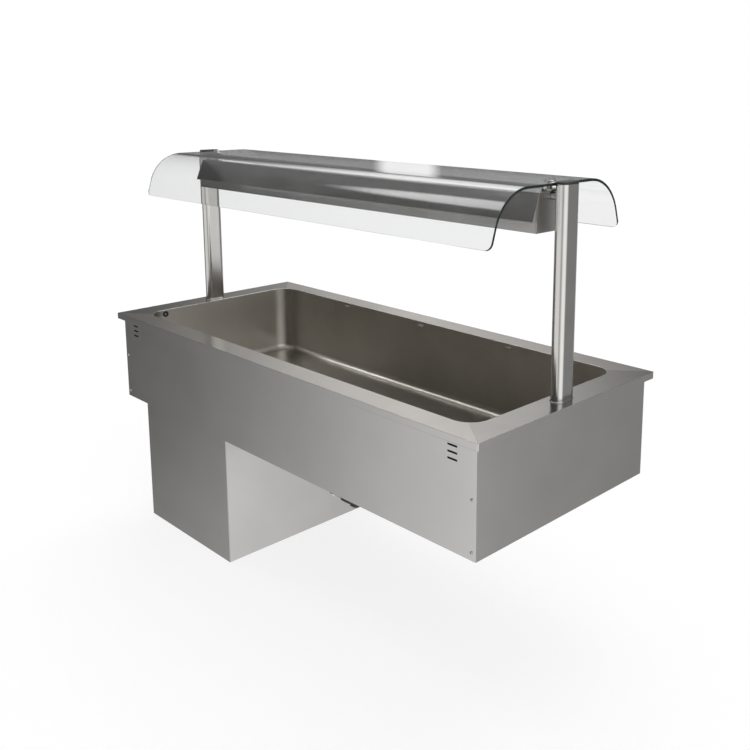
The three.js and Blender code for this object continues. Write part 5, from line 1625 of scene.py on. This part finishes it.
def fan_shroud():
    width, height = condenser_right - condenser_left, condenser_top - bay_floor
    centre = (bay_middle, bay_floor + height / 2)
    outline = rounded_rectangle(width, height, shroud_corner, 5, centre)
    inside = (width - 2 * shroud_sheet, height - 2 * shroud_sheet)
    wall = rounded_rectangle(*inside, shroud_inner_corner, 5, centre)
    hole = circle((fan_x, fan_z), shroud_hole, 96)
    front, back = shroud_front + shroud_overlap, condenser_front - gap
    shape = bmesh.new()
    plate(shape, outline, [hole], shroud_front, shroud_front + shroud_sheet, "y")
    loft(shape, [ring_of(outline, front, "y"), ring_of(outline, back, "y"),
                 ring_of(wall, back, "y"), ring_of(wall, front, "y")], closed=True)
    turned(shape, collar_section, (fan_x, shroud_front, fan_z), "y", sides=96)
    soften(shape, shroud_edge, angle=50)
    return piece("fan_shroud", shape, black_paint)


fan_shroud()

# %% Fan wheel
blade_count, fan_reach, blade_root = 5, 92, 14
blade_radii = [blade_root, 20, 30, 42, 54, 66, 76, 84, 89, 91.4]
blade_half_root, blade_half_growth, blade_half_taper, blade_growth_rate = 13, 18, 3, 1.5
blade_pitch, blade_untwist = 0.78, 0.34
blade_camber, blade_camber_root_share, blade_camber_tip_share = 3.2, 0.6, 0.4
blade_belly, blade_rim = 0.9, 0.25
hub_section = [
    (4.2, -10), (18.5, -10), (20, -8.5), (20, 8), (18.8, 9.6), (16, 10), (0, 10), (0, 0), (4.2, 0)
]


def blade_section(radius, turn):
    """A blade's rounded section where it crosses a cylinder about the fan's axis."""
    share = (radius - blade_root) / (fan_reach - blade_root)
    growth = math.sin(min(share * blade_growth_rate, 1) * quarter)
    half = blade_half_root + blade_half_growth * growth - blade_half_taper * share
    angle = blade_pitch - blade_untwist * share
    along = Vector((-math.sin(turn), 0, math.cos(turn)))
    spoke = Vector((math.cos(turn), 0, math.sin(turn)))
    axis = Vector((0, 1, 0))
    chord = along * math.cos(angle) + axis * math.sin(angle)
    normal = axis * math.cos(angle) - along * math.sin(angle)
    camber = blade_camber * (blade_camber_root_share + blade_camber_tip_share * share)
    upper, lower = [], []
    steps = 10
    for step in range(steps + 1):
        place = -1 + 2 * step / steps
        lift = camber * (1 - place * place) - blade_camber / 2
        thick = blade_belly * math.sqrt(max(1 - place * place, 0)) + blade_rim
        reach = math.sqrt(max(radius ** 2 - (half * place * math.cos(angle)) ** 2, 1))
        spot = spoke * reach + chord * half * place
        upper.append(spot + normal * (lift + thick))
        lower.append(spot + normal * (lift - thick))
    return [Vector((fan_x, fan_y, fan_z)) + p for p in upper + lower[::-1]]


def condenser_fan():
    shape = bmesh.new()
    for index in range(blade_count):
        loft(shape, [blade_section(radius, full * index / blade_count) for radius in blade_radii])
    turned(shape, hub_section, (fan_x, fan_y, fan_z), "y", sides=56)
    return piece("condenser_fan", shape, aluminium)


condenser_fan()

# %% Fan motor with its cooling ribs and three arms
motor_front = 106.6
motor_can = [
    (0, 0), (30, 0), (34, 1.2), (36, 5), (36, 22), (35.2, 23), (35.2, 27), (36, 28), (36, 45),
    (34.5, 48.6), (31, 50), (0, 50),
]
motor_shaft = [(0, 49), (4, 49), (4, 75), (0, 75)]
rib_count, rib_half, rib_start, rib_end, rib_low, rib_high, rib_edge = 16, 1.4, 4, 21, 35, 37.2, 0.4
arm_count, arm_half, arm_sheet, arm_bend, arm_level, arm_reach = 3, 6, 3, 5, 47, shroud_hole + 7.5


def merge(shape, other):
    """Adds one shape's faces to another."""
    mesh = bpy.data.meshes.new("other")
    other.to_mesh(mesh)
    other.free()
    shape.from_mesh(mesh)
    bpy.data.meshes.remove(mesh)


def round_the_axis(shape, count, make):
    """Adds copies of a part drawn above the origin, spaced evenly round the fan's axis."""
    for index in range(count):
        part = bmesh.new()
        make(part)
        turn = Matrix.Rotation(full * index / count, 3, "Y")
        bmesh.ops.rotate(part, verts=part.verts, matrix=turn)
        bmesh.ops.translate(part, verts=part.verts, vec=(fan_x, 0, fan_z))
        merge(shape, part)


def motor_rib(part):
    block(part, -rib_half, rib_half, motor_front + rib_start, motor_front + rib_end, rib_low, rib_high,
          rib_edge, 1)


def motor_arm(part):
    y = motor_front + arm_level
    path = rounded([(0, y), (arm_reach, y), (arm_reach, shroud_front - gap)], [arm_bend], 6)
    outline = [(v, u) for u, v in thickened(path, arm_sheet)]
    loft(part, [ring_of(outline, -arm_half, "x"), ring_of(outline, arm_half, "x")])


def fan_motor():
    shape = bmesh.new()
    turned(shape, motor_can, (fan_x, motor_front, fan_z), "y", sides=72)
    turned(shape, motor_shaft, (fan_x, motor_front, fan_z), "y", sides=28)
    round_the_axis(shape, rib_count, motor_rib)
    round_the_axis(shape, arm_count, motor_arm)
    return piece("fan_motor", shape, black_paint)


fan_motor()

# %% [markdown]
# ## The compressor
# Two drawn shells are welded at a seam round the middle, with a relay's cover on one side, and the
# can stands on a plate with rubber feet. Can and feet are turned, and one object keeps paint and
# rubber apart by its material slots.

# %% Compressor on its feet
compressor_x, compressor_y, compressor_radius = -442.5, -105, 75
compressor_base, compressor_top = -583.5, -397.5
can_foot_radius, can_foot_sink, can_foot_bend, can_top_bend, can_smooth_angle = 40, 1, 26, 30, 30
seam_section = [(75, -6), (75.6, -4), (79, -3), (79, 3), (75.6, 4), (75, 6)]
base_length, base_width, base_corner, foot_x, foot_y, foot_hole = 196, 170, 26, 84, 71, 5
foot_section = [(3, 0.05), (9, 0.05), (9.6, 0.8), (9, 4), (10, 5), (9.2, 9), (5, 10), (3, 10)]
foot_bolt = [(0, 9.8), (6, 9.8), (6, 10.8), (4.6, 10.9), (4.6, 13.8), (4, 14.3), (0, 14.3)]
relay_left, relay_right, relay_half, relay_low, relay_high, relay_edge = -101, -60, 26, 5, 65, 3
filler_route = [(60, -50, -50), (92, -50, -50), (92, -50, -20)]
filler_bend, filler_radius = 8, 3


def compressor_can(shape):
    seam = (compressor_base + compressor_top) / 2
    floor_z = compressor_base - can_foot_sink
    lower = (compressor_radius - can_foot_bend, floor_z + can_foot_bend)
    upper = (compressor_radius - can_top_bend, compressor_top - can_top_bend)
    can = [(0, floor_z), (can_foot_radius, floor_z), *arc(lower, can_foot_bend, -quarter, 0, 12)]
    can += [(radius, seam + z) for radius, z in seam_section]
    can += [*arc(upper, can_top_bend, 0, quarter, 14), (0, compressor_top)]
    turned(shape, can, (compressor_x, compressor_y, 0), "z", sides=96)


def compressor():
    seam = (compressor_base + compressor_top) / 2
    feet_at = [(compressor_x + sx * foot_x, compressor_y + sy * foot_y) for sx in (-1, 1) for sy in (-1, 1)]
    outline = rounded_rectangle(base_length, base_width, base_corner, 10, (compressor_x, compressor_y))
    filler = [(compressor_x + x, compressor_y + y, seam + z) for x, y, z in filler_route]
    shape = bmesh.new()
    compressor_can(shape)
    plate(shape, outline, [circle(place, foot_hole, 20) for place in feet_at], bay_floor, compressor_base)
    block(shape, compressor_x + relay_left, compressor_x + relay_right, compressor_y - relay_half,
          compressor_y + relay_half, seam + relay_low, seam + relay_high, relay_edge, 3)
    swept(shape, route(filler, filler_bend, 8), filler_radius, 14)
    painted = as_object("can", shape, [black_paint], can_smooth_angle)
    feet = bmesh.new()
    for place in feet_at:
        turned(feet, foot_section, (*place, compressor_base), "z", sides=32)
        turned(feet, foot_bolt, (*place, compressor_base), "z", sides=24)
    whole = joined("look_compressor", painted, as_object("feet", feet, [rubber]))
    smooth_by_angle(whole.data, can_smooth_angle)
    return stands_for(whole, "compressor")


compressor()

# %% [markdown]
# ## Copper lines
# One pipe winds round the tank and cools it, and four lines join it to compressor, condenser and
# drier. Each is a route of corners, rounded to the bend that such tube allows, with a circle swept
# along it.

# %% Routes of the coil
line_x, line_ceiling, line_middle = -203.0, -258.0, 229.8
branch_half = 46
inlet_x, outlet_x = bay_middle - branch_half, bay_middle + branch_half
coil_radius, coil_seat, coil_bend, coil_loops, coil_pitch = 4.8, 1.5, 14, 3, 34
coil_reach = tank_sheet + coil_radius + coil_seat
coil_x, coil_y = opening_length / 2 + coil_reach, opening_width / 2 + coil_reach
coil_below_flange, coil_side_step, coil_below_casing = 72, 23, 8
coil_outer_y = coil_y + coil_side_step
coil_turn = opening_corner + coil_reach
coil_top = flange_top - coil_below_flange
coil_low = coil_top - (coil_loops - 1) * coil_pitch
coil_end = casing_bottom - coil_below_casing


def tube(node, corners, bend, radius, section=(), centre=(0, 0, 0)):
    """A copper line along a route, with a turned vessel on it where a section is given."""
    shape = bmesh.new()
    swept(shape, route(corners, bend), radius, 18)
    if section:
        turned(shape, section, centre, "z", sides=40)
    return piece(node, shape, copper)


def coil_corners():
    corners = [(inlet_x, coil_y, coil_end), (inlet_x, coil_y, coil_low)]
    for loop in range(coil_loops):
        z = coil_low + loop * coil_pitch
        corners += [(-coil_x, coil_y, z, coil_turn), (-coil_x, -coil_y, z, coil_turn),
                    (coil_x, -coil_y, z, coil_turn)]
        if loop == coil_loops - 1:
            corners += [(coil_x, coil_outer_y, z), (outlet_x, coil_outer_y, z)]
        else:
            corners += [(coil_x, coil_y, z, coil_turn), (coil_turn, coil_y, z),
                        (-coil_turn, coil_y, z + coil_pitch)]
    return corners + [(outlet_x, coil_outer_y, coil_end)]


tube("evaporator_coil", coil_corners(), coil_bend, coil_radius)

# %% Lines between compressor, condenser, drier and coil
line_bend, line_radius, suction_radius, capillary_bend, capillary_radius = 16, 4, 6, 8.4, 1.6
discharge_offset, discharge_drop, suction_offset, suction_drop, suction_below = 22, 50, -34, 66, 22
discharge_y, suction_y = compressor_y + discharge_offset, compressor_y + suction_offset
discharge_z, suction_z = compressor_top - discharge_drop, compressor_top - suction_drop
condenser_inlet_drop, condenser_outlet_rise = 40, 26
condenser_inlet_z = condenser_top - condenser_inlet_drop
condenser_outlet_z = bay_floor + condenser_outlet_rise
suction_level = line_ceiling - suction_below
drier_y, drier_rise, drier_length, drier_entry = -145, 130, 110, 6
drier_z = bay_floor + drier_rise
drier_top = drier_z + drier_length
drier_lower = [(0, -4), (4.6, -4), (4.8, 1), (7, 7), (10, 12), (10, 20), (10.6, 21), (10.6, 23), (10, 24)]
drier_upper = [(10, -12), (7.5, -6), (3.2, -2), (3, 0), (0, 0)]


def compressor_wall(offset, radius):
    """The place along X where a line of a radius meets the compressor's can."""
    return compressor_x + math.sqrt(compressor_radius ** 2 - (abs(offset) - radius) ** 2) + gap


tube("discharge_line", [
    (compressor_wall(discharge_offset, line_radius), discharge_y, discharge_z),
    (line_x, discharge_y, discharge_z), (line_x, discharge_y, condenser_inlet_z),
    (line_x, line_middle, condenser_inlet_z), (condenser_right + gap, line_middle, condenser_inlet_z),
], line_bend, line_radius)
tube("suction_line", [
    (outlet_x, coil_outer_y, coil_end - gap), (outlet_x, coil_outer_y, suction_level),
    (outlet_x, suction_y, suction_level), (outlet_x, suction_y, suction_z),
    (compressor_wall(suction_offset, suction_radius), suction_y, suction_z),
], line_bend, suction_radius)
tube("capillary_line", [
    (line_x, drier_y, drier_top + gap), (line_x, drier_y, line_ceiling),
    (inlet_x, drier_y, line_ceiling), (inlet_x, coil_y, line_ceiling), (inlet_x, coil_y, coil_end - gap),
], capillary_bend, capillary_radius)
tube("filter_drier", [
    (condenser_right + gap, line_middle, condenser_outlet_z), (line_x, line_middle, condenser_outlet_z),
    (line_x, drier_y, condenser_outlet_z), (line_x, drier_y, drier_z + drier_entry),
], line_bend, line_radius, [
    *[(radius, drier_z + z) for radius, z in drier_lower],
    *[(radius, drier_top + z) for radius, z in drier_upper],
], (line_x, drier_y, 0))

# %% [markdown]
# ## The electrical box
# A moulded box holds the wiring. Its body, the rim that the lid sits on and the lid are three lofts
# that meet at a thin shadow line, with four screw heads in the corners.

# %% Electrical box with a lid and four screws
lid_depth, lid_gap, lid_rim, lid_inset, box_rounding, box_edge = 14, 0.6, 1, 0.5, 5, 0.8
lid_screw_inset, lid_screw_section = 10, [(0, -1), (3.4, -1), (3.4, -0.3), (2.6, 0), (0, 0)]


def electrical_box():
    lo, hi = [[value / mm for value in corner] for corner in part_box("electrical_box")]
    seat = hi[0] - lid_depth
    length, width = hi[1] - lo[1], hi[2] - lo[2]
    centre = ((lo[1] + hi[1]) / 2, (lo[2] + hi[2]) / 2)
    outline = rounded_rectangle(length, width, box_rounding, 8, centre)
    inside = (length - 2 * lid_inset, width - 2 * lid_inset)
    rim = rounded_rectangle(*inside, box_rounding - lid_inset, 8, centre)
    shape = bmesh.new()
    for ring, low, high in ((outline, lo[0], seat - lid_gap), (rim, seat - lid_rim, seat),
                            (outline, seat, hi[0] - lid_gap)):
        loft(shape, [ring_of(ring, low, "x"), ring_of(ring, high, "x")])
    for y in (lo[1] + lid_screw_inset, hi[1] - lid_screw_inset):
        for z in (lo[2] + lid_screw_inset, hi[2] - lid_screw_inset):
            turned(shape, lid_screw_section, (hi[0], y, z), "x", sides=24)
    soften(shape, box_edge, steps=3, angle=50)
    return piece("electrical_box", shape, grey_plastic)


electrical_box()

# %% [markdown]
# ## The floor
# The ground is plain white. A very wide pale disc that glows evenly gives that, and it is hidden in
# reflections, so that the steel doesn't mirror it.

# %% Floor
floor_half, floor_drop, floor_sheet = 60000, 0.5, 20
floor_fineness, floor_roughness, floor_gloss, floor_glow = 60, 0.9, 0.1, 0.80


def floor_finish():
    material, tree, shader = new_material("floor_pale")
    feed(tree, shader, {
        "Base Color": two_tones(tree, noise(tree, floor_fineness), (0.20, 0.20, 0.20), (0.22, 0.22, 0.22)),
        "Roughness": floor_roughness, "Specular IOR Level": floor_gloss,
        "Emission Color": (1, 1, 1, 1), "Emission Strength": floor_glow,
    })
    return material


def floor():
    level = bay_bottom - floor_drop
    disc = circle((0, 0), floor_half, 96)
    shape = bmesh.new()
    loft(shape, [ring_of(disc, level - floor_sheet), ring_of(disc, level)])
    made = as_object("floor", shape, [floor_finish()])
    made.visible_glossy = False


floor()

# %% [markdown]
# ## The room
# Steel and glass show little of themselves and much of the room. To the eye, and straight through
# the glass, the room is white. To every other ray it is a dim studio with upright and round
# diffusers, each where a sheet of this object has to look bright. They are angles in the world's
# shader, because real lamps of that size would stand in the picture.

# %% Helpers for the world's shader
def direction(azimuth, elevation):
    """The direction toward an azimuth and an elevation in degrees."""
    turn, rise = math.radians(azimuth), math.radians(elevation)
    return (math.cos(rise) * math.cos(turn), math.cos(rise) * math.sin(turn), math.sin(rise))


def fade(tree, value, edge, core):
    """0 at the edge angle and beyond, 1 at the core angle and within, given in degrees."""
    inputs = {"Value": value, "From Min": math.radians(edge), "From Max": math.radians(core)}
    return add(tree, "ShaderNodeMapRange", inputs, interpolation_type="SMOOTHSTEP").outputs["Result"]


def angle_between(tree, ray, toward):
    dot = add(tree, "ShaderNodeVectorMath", {0: ray, 1: toward}, operation="DOT_PRODUCT")
    return math_node(tree, "ARCCOSINE", dot.outputs["Value"])


def flattened(tree, ray):
    """The ray's direction seen from above, at length 1."""
    level = add(tree, "ShaderNodeVectorMath", {0: ray, 1: (1, 1, 0)}, operation="MULTIPLY")
    unit = add(tree, "ShaderNodeVectorMath", {0: level.outputs["Vector"]}, operation="NORMALIZE")
    return unit.outputs["Vector"]


# %% Upright and round diffusers
def wall_light(tree, ray, azimuth, core, edge, top, soft, level):
    """An upright diffuser: bright within core degrees to either side, up to a height."""
    across = fade(tree, angle_between(tree, flattened(tree, ray), direction(azimuth, 0)), edge, core)
    below = fade(tree, angle_between(tree, ray, (0, 0, -1)), 90 + top + soft, 90 + top)
    return math_node(tree, "MULTIPLY", math_node(tree, "MULTIPLY", across, below), level)


def round_light(tree, ray, azimuth, elevation, core, edge, level):
    """A round diffuser round a direction."""
    within = fade(tree, angle_between(tree, ray, direction(azimuth, elevation)), edge, core)
    return math_node(tree, "MULTIPLY", within, level)


dim_level, white_level, unturned_limit = 0.09, 1.0, 1.5
walls = [
    # azimuth, full within, none beyond, top, fading above it, level
    (0, 12, 64, 40, 14, 1.2),
    (50, 10, 55, 20, 14, 0.055),
    (95, 18, 38, -8, 10, 0.32),
    (165, 10, 36, -8, 10, 0.32),
    (-98, 26, 57, -5, 14, 0.95),
    (138, 16, 34, 8, 8, 0.06),
    (135.9, 1.2, 2.3, 7, 4, 0.8),
]
rounds = [
    # azimuth, elevation, full within, none beyond, level
    (136, 27, 5, 21, 0.88),
    (130, 60, 10, 24, 2.0),
    (100, 53, 8, 19, 2.6),
    (-166, 48, 6, 11, 3.6),
    (-155, -38, 8, 20, 0.2),
    (0, 90, 20, 55, 0.6),
]

# %% The room for the eye and for reflections
def room():
    world = bpy.data.worlds.new("room")
    bpy.context.scene.world = world
    world.use_nodes = True
    tree = world.node_tree
    background = next(node for node in tree.nodes if node.type == "BACKGROUND")
    ray = tree.nodes.new("ShaderNodeTexCoord").outputs["Generated"]
    studio = dim_level
    for numbers in walls:
        studio = math_node(tree, "ADD", studio, wall_light(tree, ray, *numbers))
    for numbers in rounds:
        studio = math_node(tree, "ADD", studio, round_light(tree, ray, *numbers))
    path = tree.nodes.new("ShaderNodeLightPath").outputs
    bounces = math_node(tree, "SUBTRACT", path["Ray Depth"], path["Transmission Depth"])
    straight_through = math_node(
        tree, "MULTIPLY", path["Is Transmission Ray"], math_node(tree, "LESS_THAN", bounces, unturned_limit)
    )
    to_the_eye = math_node(tree, "MAXIMUM", path["Is Camera Ray"], straight_through)
    level = add(tree, "ShaderNodeMapRange", {"Value": to_the_eye, "To Min": studio, "To Max": white_level})
    tree.links.new(level.outputs["Result"], background.inputs["Color"])
    print("diffusers in the room:", len(walls) + len(rounds))


# %% Two soft lamps
overhead = {"toward": direction(-60, 84), "spread": 150, "power": 0.55}
from_the_front = {"toward": direction(-40, 20), "spread": 90, "power": 0.25}


def soft_lamp(name, toward, spread, power):
    """Even light from one side, as from a large diffuser."""
    data = bpy.data.lights.new(name, "SUN")
    data.angle = math.radians(spread)
    data.energy = power
    lamp = in_scene(name, data)
    lamp.rotation_euler = Vector(toward).to_track_quat("Z", "Y").to_euler()
    lamp.visible_glossy = False
    return lamp


room()
soft_lamp("overhead", **overhead)
soft_lamp("front", **from_the_front)

# %% [markdown]
# ## The camera
# Place, aim, lens and shift were found by matching corners of the model with the same corners in the
# photograph. The shift does part of the framing, as photographers do to keep uprights parallel.

# %% Camera at the photograph's angle
camera_place = (1.79577, -1.54110, 0.68107)
camera_aim = (0.25335, 0.0, 0.27871)
camera_lens, camera_sensor = 43.62, 36
camera_shift = (-0.0617, -0.16)


def camera():
    data = bpy.data.cameras.new("camera")
    data.lens = camera_lens
    data.sensor_width = camera_sensor
    data.shift_x, data.shift_y = camera_shift
    made = in_scene("camera", data)
    made.location = camera_place
    made.rotation_euler = (Vector(camera_aim) - Vector(camera_place)).to_track_quat("-Z", "Y").to_euler()
    bpy.context.scene.camera = made
    print("lens:", data.lens, "mm")


camera()
bpy.context.scene.view_settings.view_transform = "Standard"
